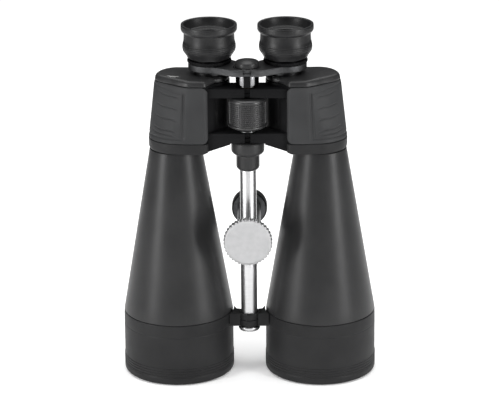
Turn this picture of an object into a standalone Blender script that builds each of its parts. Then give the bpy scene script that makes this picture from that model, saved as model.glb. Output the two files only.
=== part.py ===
"""Giant Porro-prism binoculars, about 20 x 80, standing on their objective ends.

Metres, +Z up along the hinge rod, +X to the right half, -Y to the front. The origin is on the
surface the objective rings stand on, midway between the two barrels.
"""
import math

import bmesh
import bpy
from mathutils import Matrix

MM = 0.001
FIT = 0.3 * MM                      # clearance between pieces that touch or run in each other

# barrels
BARREL_X = 60.6 * MM                # objective axis, each side of the middle
RING_RADIUS = 47.0 * MM
RING_TOP = 54.0 * MM
LENS_RADIUS = 40.2 * MM
LENS_BASE = 26.0 * MM
CONE_TOP = 197.7 * MM
CONE_TOP_RADIUS = 21.8 * MM
SPIGOT_SEAT = 43.9 * MM             # bore of the objective ring that the cone's stub fits
SPIGOT_RADIUS = 18.7 * MM
SPIGOT_HEIGHT = 6.5 * MM
THROAT_RADIUS = 16.0 * MM
TUBE_WALL = 2.2 * MM

# prism housings
HOUSING_BASE = 198.0 * MM
FLANGE_TOP = 207.3 * MM
CASTING_TOP = 256.0 * MM
COVER_BASE = 256.4 * MM
COVER_TOP = 261.8 * MM
ARMOUR = 1.3 * MM
CASTING_WALL = 2.2 * MM
HOUSING_FRONT = -26.0 * MM
FRONT_INNER_X = 32.5 * MM
FRONT_OUTER_X = 49.0 * MM
OUTER_RADIUS = 22.4 * MM
LEAN_FROM = 50.0 * MM               # beyond this width the wall leans in as it rises
LEAN_SLOPE = 0.11
FLOOR = 209.0 * MM                  # inside, under the prisms
SHELF_Z = 230.5 * MM
SHELF_THICK = 1.6 * MM

# hinge
ROD_Y = -11.5 * MM
ROD_RADIUS = 6.9 * MM
ROD_BASE = 38.3 * MM
ROD_TOP = 216.0 * MM
PLATE_HALF_DEPTH = 10.4 * MM        # hinge plates, in front of and behind the axis
KNUCKLE_RADIUS = 8.6 * MM           # eyes of the hinge plates
PLATE_SLOT = 2.3 * MM               # half the gap between the facing hinge plates
BRIDGE_EYE_RADIUS = 9.3 * MM
LOWER_PLATE = (207.0 * MM, 215.7 * MM)
UPPER_PLATE = (246.2 * MM, 254.0 * MM)
BRIDGE_PLATE = (43.0 * MM, 54.0 * MM)

# focusing
WHEEL_RADIUS = 16.1 * MM
WHEEL = (219.0 * MM, 245.2 * MM)
SCREW_RADIUS = 5.0 * MM
BUSH_RADIUS = 6.6 * MM
SLEEVE_RADIUS = 9.7 * MM
OCULAR_PLATE = (265.0 * MM, 270.5 * MM)
OCULAR_EYE_RADIUS = 11.2 * MM
OCULAR_SLOT = 3.3 * MM

# eyepieces
EYE_X = 31.65 * MM
EYE_Y = 4.0 * MM
EYE_TUBE_RADIUS = 16.6 * MM
EYE_BARREL_RADIUS = 13.0 * MM
EYECUP_BASE = 275.3 * MM
EYECUP_TOP = 303.0 * MM

# tripod adapter
ADAPTER_Z = 129.5 * MM
POST_RADIUS = 10.0 * MM
POST_FRONT = -23.5 * MM
KNOB_RADIUS = 20.4 * MM
KNOB_FRONT = -49.0 * MM
PAD_RADIUS = 3.9 * MM
FOOT_RADIUS = 15.2 * MM
FOOT = (37.0 * MM, 49.0 * MM)

STEPS_LARGE = 36
STEPS_MEDIUM = 24
STEPS_SMALL = 16


def clear_scene():
    for old in list(bpy.data.objects):
        bpy.data.objects.remove(old, do_unlink=True)


def new_collection(name):
    collection = bpy.data.collections.new(name)
    bpy.context.scene.collection.children.link(collection)
    return collection


clear_scene()
PARTS = new_collection("binoculars")
CUTTERS = new_collection("cutters")


# ---------------------------------------------------------------- materials

def material(name, colour, roughness, metallic=0.0):
    made = bpy.data.materials.get(name) or bpy.data.materials.new(name)
    made.use_nodes = True
    shader = made.node_tree.nodes["Principled BSDF"]
    shader.inputs["Base Color"].default_value = (*colour, 1.0)
    shader.inputs["Roughness"].default_value = roughness
    shader.inputs["Metallic"].default_value = metallic
    return made


BLACK_PAINT = material("black_satin_paint", (0.045, 0.046, 0.048), 0.45)
DARK_PAINT = material("dark_matte_paint", (0.020, 0.020, 0.022), 0.60)
RUBBER = material("black_rubber", (0.035, 0.036, 0.038), 0.70)
ALUMINIUM = material("satin_aluminium", (0.80, 0.80, 0.79), 0.25, 1.0)
CHROME = material("chrome", (0.85, 0.85, 0.85), 0.08, 1.0)
GREY_METAL = material("grey_metal", (0.22, 0.22, 0.23), 0.40, 1.0)
GLASS = material("coated_glass", (0.75, 0.85, 0.80), 0.02)
BRASS = material("brass", (0.72, 0.55, 0.25), 0.35, 1.0)
NYLON = material("white_nylon", (0.70, 0.70, 0.68), 0.50)


# ---------------------------------------------------------------- makers

def keep(name, mesh, finish, cutter=False):
    """Put a mesh in the scene as one named part, or as a hidden cutter."""
    made = bpy.data.objects.new(name, mesh)
    (CUTTERS if cutter else PARTS).objects.link(made)
    mesh.materials.clear()
    mesh.materials.append(finish)
    if cutter:
        made.hide_render = True
        made.display_type = "WIRE"
    return made


def turned(name, profile, finish, centre=(0.0, 0.0), steps=STEPS_MEDIUM, cutter=False):
    """Turn (radius, z) points about a vertical axis. The profile is a closed loop unless it
    starts and ends on the axis; it runs down the outer side."""
    mesh = bpy.data.meshes.new(name)
    points = [(radius, 0.0, z) for radius, z in profile]
    edges = [(i, i + 1) for i in range(len(points) - 1)]
    if profile[0][0] > 0.0:
        edges.append((len(points) - 1, 0))
    mesh.from_pydata(points, edges, [])
    made = keep(name, mesh, finish, cutter)
    screw = made.modifiers.new("turn", "SCREW")
    screw.axis = "Z"
    screw.steps = steps
    screw.render_steps = steps
    screw.use_merge_vertices = True
    screw.merge_threshold = 0.00001
    screw.use_smooth_shade = True
    made.location = (centre[0], centre[1], 0.0)
    return made


def tube_profile(outer, inner, low, high):
    return [(outer, high), (outer, low), (inner, low), (inner, high)]


def rod_profile(radius, low, high):
    return [(0.0, high), (radius, high), (radius, low), (0.0, low)]


def plate(name, outlines, low, high, finish, cutter=False):
    """Extrude flat outlines from z low to z high. A second outline inside the first is a hole."""
    curve = bpy.data.curves.new(name, "CURVE")
    curve.dimensions = "2D"
    curve.fill_mode = "BOTH"
    curve.extrude = (high - low) / 2
    for outline in outlines:
        spline = curve.splines.new("POLY")
        spline.points.add(len(outline) - 1)
        for point, (x, y) in zip(spline.points, outline):
            point.co = (x, y, 0.0, 1.0)
        spline.use_cyclic_u = True
    drawn = bpy.data.objects.new(name + "_outline", curve)
    bpy.context.scene.collection.objects.link(drawn)
    bpy.context.view_layer.update()
    evaluated = drawn.evaluated_get(bpy.context.evaluated_depsgraph_get())
    mesh = bpy.data.meshes.new_from_object(evaluated)
    bpy.data.objects.remove(drawn, do_unlink=True)
    bpy.data.curves.remove(curve)
    work = bmesh.new()
    work.from_mesh(mesh)
    bmesh.ops.remove_doubles(work, verts=work.verts, dist=0.00001)
    bmesh.ops.translate(work, verts=work.verts, vec=(0.0, 0.0, (low + high) / 2))
    bmesh.ops.recalc_face_normals(work, faces=work.faces)
    work.to_mesh(mesh)
    work.free()
    mesh.name = name
    return keep(name, mesh, finish, cutter)


def transformed(made, matrix):
    made.data.transform(matrix)
    return made


def boolean(target, other, operation):
    modifier = target.modifiers.new(operation.lower() + "_" + other.name, "BOOLEAN")
    modifier.operation = operation
    modifier.solver = "EXACT"
    modifier.object = other


def cut(target, other):
    boolean(target, other, "DIFFERENCE")


def join(target, other):
    boolean(target, other, "UNION")


def round_edges(made, width, segments=2, angle=50):
    bevel = made.modifiers.new("soft_edges", "BEVEL")
    bevel.width = width
    bevel.segments = segments
    bevel.limit_method = "ANGLE"
    bevel.angle_limit = math.radians(angle)


# ---------------------------------------------------------------- outlines

def arc(centre, radius, start, end, count):
    """Points on an arc from start to end, in degrees."""
    points = []
    for i in range(count + 1):
        turn = math.radians(start + (end - start) * i / count)
        points.append((centre[0] + radius * math.cos(turn), centre[1] + radius * math.sin(turn)))
    return points


def circle(centre, radius, count=STEPS_MEDIUM):
    return arc(centre, radius, 0, 360 * (count - 1) / count, count - 1)


def on_side(side, outline):
    """The outline of the right half, mirrored for the left half."""
    return [(side * x, y) for x, y in outline]


def armoured_outline(inset):
    """The stretch of the right housing's plan that the rubber wraps, moved in by inset: from the
    back, round the objective's side, across the front to the inner corner."""
    corner_radius = 4.0 * MM
    corner_y = HOUSING_FRONT + corner_radius
    points = arc((BARREL_X, 0.0), OUTER_RADIUS - inset, 90, -32, 9)
    points += arc((56.0 * MM, -18.0 * MM), 6.0 * MM - inset, -42, -80, 2)
    points += arc((FRONT_OUTER_X, corner_y), corner_radius - inset, -78, -90, 1)
    points += arc((FRONT_INNER_X + corner_radius, corner_y), corner_radius - inset, -90, -180, 3)
    return points


def housing_outline(inset):
    """Plan of the right prism housing, moved in from its rubber-covered outside by inset."""
    return armoured_outline(inset) + arc((EYE_X, EYE_Y), 17.0 * MM - inset, 252, 90, 9)


# ---------------------------------------------------------------- barrels

def objective_ring(tag, side):
    """Cell at the front of the barrel: it holds the doublet and is the foot the object stands on."""
    lens_top = LENS_BASE + 9.0 * MM
    seat = SPIGOT_SEAT
    profile = [(RING_RADIUS - 0.6 * MM, RING_TOP), (RING_RADIUS, RING_TOP - 0.6 * MM),
               (RING_RADIUS, 2.0 * MM), (RING_RADIUS - 1.8 * MM, 0.0),
               (42.6 * MM, 0.0), (42.3 * MM, LENS_BASE), (LENS_RADIUS + FIT, LENS_BASE),
               (LENS_RADIUS + FIT, lens_top), (38.5 * MM, lens_top), (38.5 * MM, lens_top + 3.0 * MM),
               (seat, lens_top + 3.0 * MM), (seat, RING_TOP)]
    turned("objective_ring_" + tag, profile, DARK_PAINT, (side * BARREL_X, 0.0), STEPS_LARGE)


def cap_points(radius, rim_z, sag, count):
    """A shallow dome from the rim to the axis, sag high at the middle."""
    points = []
    for i in range(count + 1):
        part = 1.0 - i / count
        points.append((radius * part, rim_z + sag * (1.0 - part * part)))
    points[-1] = (0.0, rim_z + sag)
    return points


def lens(name, centre, radius, low, high, low_sag, high_sag, steps=STEPS_MEDIUM, count=3):
    """A lens whose two faces bulge by their sag; a negative high sag is a hollow face."""
    upper = cap_points(radius, high, high_sag, count)
    lower = cap_points(radius, low, -low_sag, count)
    turned(name, upper[::-1] + lower, GLASS, centre, steps)


def objective_lenses(tag, side):
    centre = (side * BARREL_X, 0.0)
    joint = LENS_BASE + 3.2 * MM
    lens("objective_crown_" + tag, centre, LENS_RADIUS, LENS_BASE + FIT, joint, 3.6 * MM, 3.2 * MM)
    lens("objective_flint_" + tag, centre, LENS_RADIUS, joint + FIT, LENS_BASE + 8.7 * MM,
         -3.2 * MM, 0.0)
    turned("lens_retainer_" + tag, tube_profile(42.0 * MM, 39.0 * MM, 21.0 * MM, LENS_BASE - FIT),
           DARK_PAINT, centre, STEPS_MEDIUM)


def objective_tube(tag, side):
    """Turned aluminium cone with a spigot at each end."""
    base = RING_TOP + FIT
    base_radius = RING_RADIUS - 0.2 * MM
    stub_radius = SPIGOT_SEAT - FIT
    inner_base = base_radius - TUBE_WALL - 1.5 * MM
    profile = [(SPIGOT_RADIUS, CONE_TOP + SPIGOT_HEIGHT), (SPIGOT_RADIUS, CONE_TOP),
               (CONE_TOP_RADIUS, CONE_TOP), (base_radius, base), (stub_radius, base),
               (stub_radius, base - 14.0 * MM), (stub_radius - TUBE_WALL, base - 14.0 * MM),
               (inner_base - 1.0 * MM, base + 2.0 * MM),
               (SPIGOT_RADIUS - TUBE_WALL, CONE_TOP - 2.0 * MM),
               (SPIGOT_RADIUS - TUBE_WALL, CONE_TOP + SPIGOT_HEIGHT)]
    turned("objective_tube_" + tag, profile, BLACK_PAINT, (side * BARREL_X, 0.0), STEPS_LARGE)


def split_eye(levels, upper):
    """Heights of one half's eye, where the eyes of the two halves share one hinge axis."""
    low, high = levels
    middle = (low + high) / 2
    return (middle + FIT / 2, high) if upper else (low, middle - FIT / 2)


def knuckle(target, tag, side, eye, radius, bore, room=0.5 * MM):
    """End a hinge arm in an eye: clear room round the other half's eye, then join a tongue and
    this half's own eye, and bore it on the hinge axis."""
    axis = (0.0, ROD_Y)
    clear = radius + room
    half = 0.62 * radius
    tongue = [(0.6 * radius, ROD_Y - half), (clear + 2 * MM, ROD_Y - half),
              (clear + 2 * MM, ROD_Y + half), (0.6 * radius, ROD_Y + half)]
    below, above = eye[0] - 12 * MM, eye[1] + 12 * MM
    cut(target, plate("room_" + tag, [circle(axis, clear)], below, above, DARK_PAINT, True))
    join(target, plate("tongue_" + tag, [on_side(side, tongue)], *eye, DARK_PAINT, True))
    join(target, plate("eye_" + tag, [circle(axis, radius)], *eye, DARK_PAINT, True))
    cut(target, plate("bore_" + tag, [circle(axis, bore)], eye[0] - 1 * MM, eye[1] + 1 * MM,
                      DARK_PAINT, True))


def front_bridge_arm(tag, side):
    """Brace from the objective ring to the rod, where its eye lies over or under the other's."""
    low, high = BRIDGE_PLATE
    saddle = RING_RADIUS + FIT
    front = 17.8 * MM
    back = 2.5 * MM
    end = BRIDGE_EYE_RADIUS + 1.3 * MM
    first = math.degrees(math.asin(front / saddle))
    last = math.degrees(math.asin(back / saddle))
    bar = arc((BARREL_X, 0.0), saddle, 180 + first, 180 - last, 6)
    bar += [(end, ROD_Y + 5.0 * MM), (end, -front)]
    arm = plate("front_bridge_arm_" + tag, [on_side(side, bar)], low, high, DARK_PAINT)
    knuckle(arm, tag + "_front", side, split_eye(BRIDGE_PLATE, side < 0), BRIDGE_EYE_RADIUS,
            ROD_RADIUS + FIT)


# ---------------------------------------------------------------- prism housings

def hinge_plate(target, tag, side, levels, bore):
    """Flat plate from the housing to the hinge axis, where it ends in this half's eye."""
    inner, outer = PLATE_SLOT, 36.0 * MM
    front, back = ROD_Y - PLATE_HALF_DEPTH, ROD_Y + PLATE_HALF_DEPTH
    bar = plate("bar_" + tag, [on_side(side, [(inner, front), (outer, front), (outer, back),
                                              (inner, back)])], *levels, DARK_PAINT, True)
    join(target, bar)
    knuckle(target, tag, side, split_eye(levels, side > 0), KNUCKLE_RADIUS, bore)


def leaned(made, side):
    """Settle a housing piece's modifiers, then lean its outer side towards the hinge as it rises
    from the flange."""
    bpy.context.view_layer.update()
    evaluated = made.evaluated_get(bpy.context.evaluated_depsgraph_get())
    mesh = bpy.data.meshes.new_from_object(evaluated)
    made.modifiers.clear()
    made.data = mesh
    mesh.name = made.name
    for vertex in mesh.vertices:
        reach = (side * vertex.co.x - LEAN_FROM) / (BARREL_X + OUTER_RADIUS - LEAN_FROM)
        rise = max(vertex.co.z - FLANGE_TOP, 0.0)
        vertex.co.x -= side * LEAN_SLOPE * max(reach, 0.0) * rise
    return made


def side_wedge(name, side, outline, front, back):
    """A cutter with this outline seen from the front, from y front to y back."""
    wedge = plate(name, [on_side(side, outline)], -back, -front, BLACK_PAINT, True)
    return transformed(wedge, Matrix.Rotation(math.pi / 2, 4, "X"))


def prism_housing(tag, side):
    """Die-cast body: flange, wall, floor and both hinge plates. Its underside rises to the hinge."""
    flange = plate("prism_housing_" + tag, [on_side(side, housing_outline(0.0))], HOUSING_BASE,
                   FLANGE_TOP, BLACK_PAINT)
    inset = ARMOUR + FIT
    wall = plate("wall_" + tag, [on_side(side, housing_outline(inset))], FLANGE_TOP - 1 * MM,
                 CASTING_TOP, BLACK_PAINT, True)
    cavity = plate("cavity_" + tag, [on_side(side, housing_outline(inset + CASTING_WALL))],
                   FLOOR, CASTING_TOP + 2 * MM, BLACK_PAINT, True)
    seat = plate("tube_seat_" + tag, [circle((side * BARREL_X, 0.0), SPIGOT_RADIUS + FIT, STEPS_LARGE)],
                 HOUSING_BASE - 2 * MM, HOUSING_BASE + 7 * MM, BLACK_PAINT, True)
    throat = plate("throat_" + tag, [circle((side * BARREL_X, 0.0), THROAT_RADIUS)],
                   HOUSING_BASE + 5 * MM, FLOOR + 2 * MM, BLACK_PAINT, True)
    join(flange, wall)
    web = [(36.0 * MM, HOUSING_BASE + 0.6 * MM), (36.0 * MM, LOWER_PLATE[0] + 1 * MM),
           (14.4 * MM, LOWER_PLATE[0] + 1 * MM), (14.4 * MM, LOWER_PLATE[0] - 0.7 * MM)]
    depth = PLATE_HALF_DEPTH - 0.4 * MM
    join(flange, side_wedge("web_" + tag, side, web, ROD_Y - depth, ROD_Y + depth))
    hinge_plate(flange, tag + "_low", side, LOWER_PLATE, ROD_RADIUS + FIT)
    hinge_plate(flange, tag + "_high", side, UPPER_PLATE, BUSH_RADIUS + FIT)
    cut(flange, cavity)
    cut(flange, seat)
    cut(flange, throat)
    rise = [(41.0 * MM, HOUSING_BASE - 1 * MM), (12.0 * MM, FLANGE_TOP - 0.9 * MM),
            (5.0 * MM, FLANGE_TOP - 0.9 * MM), (5.0 * MM, HOUSING_BASE - 1 * MM)]
    cut(flange, side_wedge("rise_" + tag, side, rise, HOUSING_FRONT - 4 * MM, 30.0 * MM))
    leaned(flange, side)


def prism_armour(tag, side):
    """Moulded rubber that wraps the housing from its front inner corner round to the back."""
    outer = armoured_outline(0.0)
    inner = armoured_outline(ARMOUR)
    band = outer + inner[::-1]
    skin = plate("prism_armour_" + tag, [on_side(side, band)], FLANGE_TOP + FIT, CASTING_TOP, RUBBER)
    leaned(skin, side)


def prism_cover(tag, side):
    """Cover plate over the prisms, bored for the eyepiece."""
    hole = circle((EYE_X, EYE_Y), EYE_BARREL_RADIUS + FIT)
    cover = plate("prism_cover_" + tag, [on_side(side, housing_outline(0.4 * MM)), on_side(side, hole)],
                  COVER_BASE, COVER_TOP, BLACK_PAINT)
    round_edges(cover, 1.6 * MM, 1)
    leaned(cover, side)


def prism(name, side, centre, direction, base, height):
    """Right-angle prism: its long face lies at height base, its roof edge at base plus height."""
    half = 15.0 * MM
    flat = 0.12 * abs(height)
    outline = [(half, 0.0), (half, 0.12 * height), (flat, height), (-flat, height),
               (-half, 0.12 * height), (-half, 0.0)]
    glass = plate(name, [outline], -7.4 * MM, 7.4 * MM, GLASS)
    turn = math.atan2(direction[1], side * direction[0])
    place = Matrix.Translation((side * centre[0], centre[1], base))
    transformed(glass, place @ Matrix.Rotation(turn, 4, "Z") @ Matrix.Rotation(math.pi / 2, 4, "X"))
    glass.data.update()
    work = bmesh.new()
    work.from_mesh(glass.data)
    bmesh.ops.recalc_face_normals(work, faces=work.faces)
    work.to_mesh(glass.data)
    work.free()


def prisms(tag, side):
    """Two crossed prisms fold the light from the objective axis over to the eyepiece axis."""
    shift = (EYE_X - BARREL_X, EYE_Y)
    first = ((shift[0] + EYE_Y) / 2, (shift[1] + shift[0]) / 2)
    middle = (BARREL_X + first[0], first[1])
    upper_centre = ((BARREL_X + middle[0]) / 2, middle[1] / 2)
    lower_centre = ((middle[0] + EYE_X) / 2, (middle[1] + EYE_Y) / 2)
    top = SHELF_Z + SHELF_THICK + FIT
    prism("prism_upper_" + tag, side, upper_centre, first, top, 15.0 * MM)
    second = (EYE_X - middle[0], EYE_Y - middle[1])
    prism("prism_lower_" + tag, side, lower_centre, second, SHELF_Z - FIT, -15.0 * MM)
    inset = ARMOUR + CASTING_WALL + 3 * FIT
    outlines = [on_side(side, housing_outline(inset))]
    for centre in ((BARREL_X, 0.0), middle, (EYE_X, EYE_Y)):
        outlines.append(on_side(side, circle(centre, 6.5 * MM, 12)))
    shelf = plate("prism_shelf_" + tag, outlines, SHELF_Z, SHELF_Z + SHELF_THICK, DARK_PAINT)
    leaned(shelf, side)


# ---------------------------------------------------------------- hinge and focusing

def hinge():
    axis = (0.0, ROD_Y)
    turned("centre_rod", rod_profile(ROD_RADIUS, ROD_BASE + 3.7 * MM, ROD_TOP), ALUMINIUM, axis)
    cap_top = ROD_BASE + 3.7 * MM - FIT
    turned("rod_end_cap", [(0.0, cap_top), (9.2 * MM, cap_top), (9.2 * MM, ROD_BASE + 1.0 * MM),
                           (8.2 * MM, ROD_BASE), (0.0, ROD_BASE)], ALUMINIUM, axis)
    bore = ROD_RADIUS + FIT
    profile = [(13.2 * MM, LOWER_PLATE[0] - FIT), (13.85 * MM, 206.4 * MM), (13.85 * MM, 197.8 * MM),
               (11.8 * MM, 195.7 * MM), (9.75 * MM, 195.7 * MM), (9.75 * MM, 183.6 * MM),
               (8.2 * MM, 182.0 * MM), (bore, 182.0 * MM), (bore, LOWER_PLATE[0] - FIT)]
    turned("hinge_barrel", profile, DARK_PAINT, axis)
    turned("hinge_bush", tube_profile(BUSH_RADIUS, SCREW_RADIUS + FIT,
                                      UPPER_PLATE[0] + 0.1 * MM, UPPER_PLATE[1]), BRASS, axis)


def focus_wheel():
    low, high = WHEEL
    bore = SCREW_RADIUS + FIT
    edge = WHEEL_RADIUS
    profile = [(12.8 * MM, high), (edge - 0.6 * MM, high - 1.6 * MM), (edge, high - 3.2 * MM),
               (edge, low + 3.2 * MM), (edge - 0.6 * MM, low + 1.6 * MM), (12.8 * MM, low),
               (bore, low), (bore, high)]
    turned("focus_wheel", profile, RUBBER, (0.0, ROD_Y), STEPS_LARGE)


def focus_drive():
    """The screw runs in the wheel and lifts the chromed sleeve that carries both ocular arms."""
    axis = (0.0, ROD_Y)
    sleeve_base = UPPER_PLATE[1] + 0.9 * MM
    turned("focus_screw", rod_profile(SCREW_RADIUS, ROD_TOP + 0.6 * MM, sleeve_base - FIT), CHROME,
           axis, STEPS_SMALL)
    turned("focus_sleeve", rod_profile(SLEEVE_RADIUS, sleeve_base, OCULAR_PLATE[1]), CHROME, axis)
    base = OCULAR_PLATE[1] + FIT
    dome = cap_points(9.8 * MM, base + 3.8 * MM, 3.2 * MM, 3)
    turned("hub_cap", dome[::-1] + [(9.8 * MM, base), (0.0, base)], DARK_PAINT, axis)


def ocular_arm(tag, side):
    """Flat arm from the focusing sleeve to the eyepiece."""
    low, high = OCULAR_PLATE
    ring = 17.6 * MM
    front = ROD_Y - 12.4 * MM
    outline = [(OCULAR_SLOT, front), (12.0 * MM, front)]
    outline += arc((EYE_X, EYE_Y), ring, 262, 510, 16)
    outline += [(OCULAR_SLOT, ROD_Y + 12.4 * MM)]
    arm = plate("ocular_arm_" + tag, [on_side(side, outline)], low, high, GREY_METAL)
    knuckle(arm, tag + "_ocular", side, split_eye(OCULAR_PLATE, side > 0), OCULAR_EYE_RADIUS,
            SLEEVE_RADIUS + FIT)
    hole = plate("eye_hole_" + tag, [circle((side * EYE_X, EYE_Y), 14.6 * MM)], low - 1 * MM,
                 high + 1 * MM, GREY_METAL, True)
    cut(arm, hole)


def eyepiece(tag, side):
    centre = (side * EYE_X, EYE_Y)
    ring_base = OCULAR_PLATE[1] + FIT
    turned(("dioptre_ring_" if side > 0 else "eyepiece_ring_") + tag,
           tube_profile(18.2 * MM, EYE_TUBE_RADIUS + FIT, ring_base, ring_base + 2.7 * MM),
           DARK_PAINT, centre)
    top = EYECUP_TOP - 10.0 * MM
    bore = 11.4 * MM
    seat = 12.7 * MM + FIT
    shoulder = OCULAR_PLATE[1] + 1.9 * MM
    barrel_base = 243.5 * MM
    profile = [(EYE_TUBE_RADIUS - 1.0 * MM, top), (EYE_TUBE_RADIUS, top - 1.0 * MM),
               (EYE_TUBE_RADIUS, shoulder), (EYE_BARREL_RADIUS, shoulder),
               (EYE_BARREL_RADIUS, barrel_base), (bore, barrel_base),
               (bore, top - 7.0 * MM), (seat, top - 7.0 * MM), (seat, top)]
    turned("eyepiece_tube_" + tag, profile, BLACK_PAINT, centre)
    lens("eye_lens_" + tag, centre, 12.7 * MM, top - 6.7 * MM, top - 2.6 * MM, 0.0, 1.4 * MM,
         STEPS_SMALL, 2)
    lens("field_lens_" + tag, centre, bore - FIT, barrel_base + 4.0 * MM, barrel_base + 6.5 * MM,
         1.5 * MM, 0.0, STEPS_SMALL, 2)


def eyecup(tag, side):
    """Soft rubber cup: a flared rim over a waist, on a sleeve that grips the eyepiece."""
    inner = EYE_TUBE_RADIUS + FIT
    top = EYECUP_TOP
    base = EYECUP_BASE
    profile = [(22.6 * MM, top), (23.3 * MM, top - 0.8 * MM), (23.3 * MM, top - 5.6 * MM),
               (20.6 * MM, top - 10.6 * MM), (20.6 * MM, top - 14.6 * MM),
               (21.5 * MM, top - 16.2 * MM), (21.5 * MM, top - 22.4 * MM),
               (18.9 * MM, base), (inner, base), (inner, top - 9.4 * MM),
               (20.2 * MM, top - 7.4 * MM), (21.2 * MM, top)]
    turned("eyecup_" + tag, profile, RUBBER, (side * EYE_X, EYE_Y))


# ---------------------------------------------------------------- tripod adapter

def along_y(name, profile, finish, steps=STEPS_MEDIUM, cutter=False):
    """A piece turned about the adapter's front-to-back axis. Profile heights run along +Y."""
    made = turned(name, profile, finish, (0.0, 0.0), steps, cutter)
    made.rotation_euler = (-math.pi / 2, 0.0, 0.0)
    made.location = (0.0, 0.0, ADAPTER_Z)
    return made


def tripod_adapter():
    """A cross-bored post that slides on the rod, with a foot tapped for a tripod screw."""
    liner = 7.9 * MM
    turned("slider_bush", tube_profile(liner, ROD_RADIUS + 0.25 * MM, ADAPTER_Z - 5.5 * MM,
                                       ADAPTER_Z + 5.5 * MM), NYLON, (0.0, ROD_Y))
    post = along_y("tripod_post", rod_profile(POST_RADIUS, POST_FRONT, FOOT[0] - FIT), GREY_METAL)
    rod_hole = turned("rod_hole", rod_profile(liner + FIT, ADAPTER_Z - 14 * MM, ADAPTER_Z + 14 * MM),
                      GREY_METAL, (0.0, ROD_Y), STEPS_MEDIUM, True)
    clamp_hole = along_y("clamp_hole", rod_profile(PAD_RADIUS + FIT, POST_FRONT - 2 * MM, ROD_Y),
                         GREY_METAL, STEPS_SMALL, True)
    cut(post, rod_hole)
    cut(post, clamp_hole)
    low, high = FOOT
    edge = 0.8 * MM
    socket = 5.0 * MM
    socket_base = high - 9.0 * MM
    foot = along_y("tripod_foot", [(0.0, high), (FOOT_RADIUS - edge, high),
                                   (FOOT_RADIUS, high - edge), (FOOT_RADIUS, low + edge),
                                   (FOOT_RADIUS - edge, low), (0.0, low)], GREY_METAL)
    cut(foot, along_y("socket", rod_profile(socket, socket_base, high + 2 * MM), GREY_METAL,
                      STEPS_SMALL, True))
    along_y("thread_insert", tube_profile(socket - FIT, 3.0 * MM, socket_base + FIT, high - FIT),
            BRASS, STEPS_SMALL)


def clamp():
    """A knob whose screw presses a pad, through the post, on the liner round the rod."""
    pad_back = ROD_Y - 8.2 * MM
    pad_front = pad_back - 2.6 * MM
    along_y("clamp_pad", rod_profile(PAD_RADIUS, pad_front, pad_back), NYLON, STEPS_SMALL)
    hub = 8.0 * MM
    knob_back = KNOB_FRONT + 10.0 * MM
    rim_back = KNOB_FRONT + 6.5 * MM
    edge = 0.8 * MM
    rim = KNOB_RADIUS
    along_y("clamp_screw", rod_profile(PAD_RADIUS - 0.4 * MM, knob_back + FIT, pad_front - FIT),
            CHROME, STEPS_SMALL)
    along_y("clamp_knob", [(0.0, knob_back), (hub, knob_back), (hub, rim_back),
                           (rim - edge, rim_back), (rim, rim_back - edge),
                           (rim, KNOB_FRONT + edge), (rim - edge, KNOB_FRONT), (0.0, KNOB_FRONT)],
            ALUMINIUM, STEPS_LARGE)


# ---------------------------------------------------------------- assembly

for TAG, SIDE in (("left", -1), ("right", 1)):
    objective_ring(TAG, SIDE)
    objective_lenses(TAG, SIDE)
    objective_tube(TAG, SIDE)
    front_bridge_arm(TAG, SIDE)
    prism_housing(TAG, SIDE)
    prism_armour(TAG, SIDE)
    prism_cover(TAG, SIDE)
    prisms(TAG, SIDE)
    ocular_arm(TAG, SIDE)
    eyepiece(TAG, SIDE)
    eyecup(TAG, SIDE)
hinge()
focus_wheel()
focus_drive()
tripod_adapter()
clamp()
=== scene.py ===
import math

import bmesh
import bpy
from mathutils import Matrix, Vector


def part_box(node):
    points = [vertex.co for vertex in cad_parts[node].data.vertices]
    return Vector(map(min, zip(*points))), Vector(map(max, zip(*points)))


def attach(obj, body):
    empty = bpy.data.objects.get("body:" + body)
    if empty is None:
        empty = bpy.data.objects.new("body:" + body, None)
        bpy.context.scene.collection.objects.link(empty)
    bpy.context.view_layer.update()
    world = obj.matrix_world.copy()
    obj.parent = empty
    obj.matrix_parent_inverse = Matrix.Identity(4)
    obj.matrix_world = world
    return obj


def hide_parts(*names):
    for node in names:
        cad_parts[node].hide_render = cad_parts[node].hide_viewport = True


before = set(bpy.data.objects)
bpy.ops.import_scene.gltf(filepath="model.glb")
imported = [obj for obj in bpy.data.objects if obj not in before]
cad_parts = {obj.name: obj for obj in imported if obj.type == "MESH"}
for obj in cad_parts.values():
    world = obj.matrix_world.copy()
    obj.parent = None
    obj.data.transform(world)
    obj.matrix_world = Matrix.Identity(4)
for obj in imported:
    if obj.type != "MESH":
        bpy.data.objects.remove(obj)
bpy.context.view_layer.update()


# ---------------------------------------------------------------- floor, lights and camera
# A round sheet of white paper, faintly lit from below. The glasses stand on it between two tall
# soft boxes, under a wide ceiling light. The wall is white to look at but sheds little light, so
# the black curves keep dark edges.

HALVES = (("left", -1), ("right", 1))
FLOOR_RADIUS = 1.05
FLOOR_SIDES = 96
PAPER_WHITE = (0.97, 0.97, 0.97, 1.0)
PAPER_GLOW = 0.14                   # light that comes through the paper from below
BOX_DISTANCE = 1.25
BOX_HEIGHT = 0.34
BOX_SIZE = (0.30, 0.95)
BOX_TURN = math.radians(55)
BOX_POWER = 13.5
CEILING_PLACE = (0.0, 0.30, 1.9)
CEILING_SIZE = 2.6
CEILING_POWER = 66.0
WALL_LIGHT = 1.05                   # what the camera sees behind the floor
ROOM_LIGHT = 0.05                   # what the pieces are lit by and reflect
ROOM_TINT = (0.95, 0.97, 1.0, 1.0)
VIEW_TARGET = Vector((0.0, 0.0, 0.150))
VIEW_DISTANCE = 2.069
VIEW_RISE = math.radians(19.16)
VIEW_TURN = math.radians(1.05)
VIEW_ROLL = math.radians(0.507)
VIEW_LENS = 176.6
VIEW_SHIFT = (0.00286, 0.00057)


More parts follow.
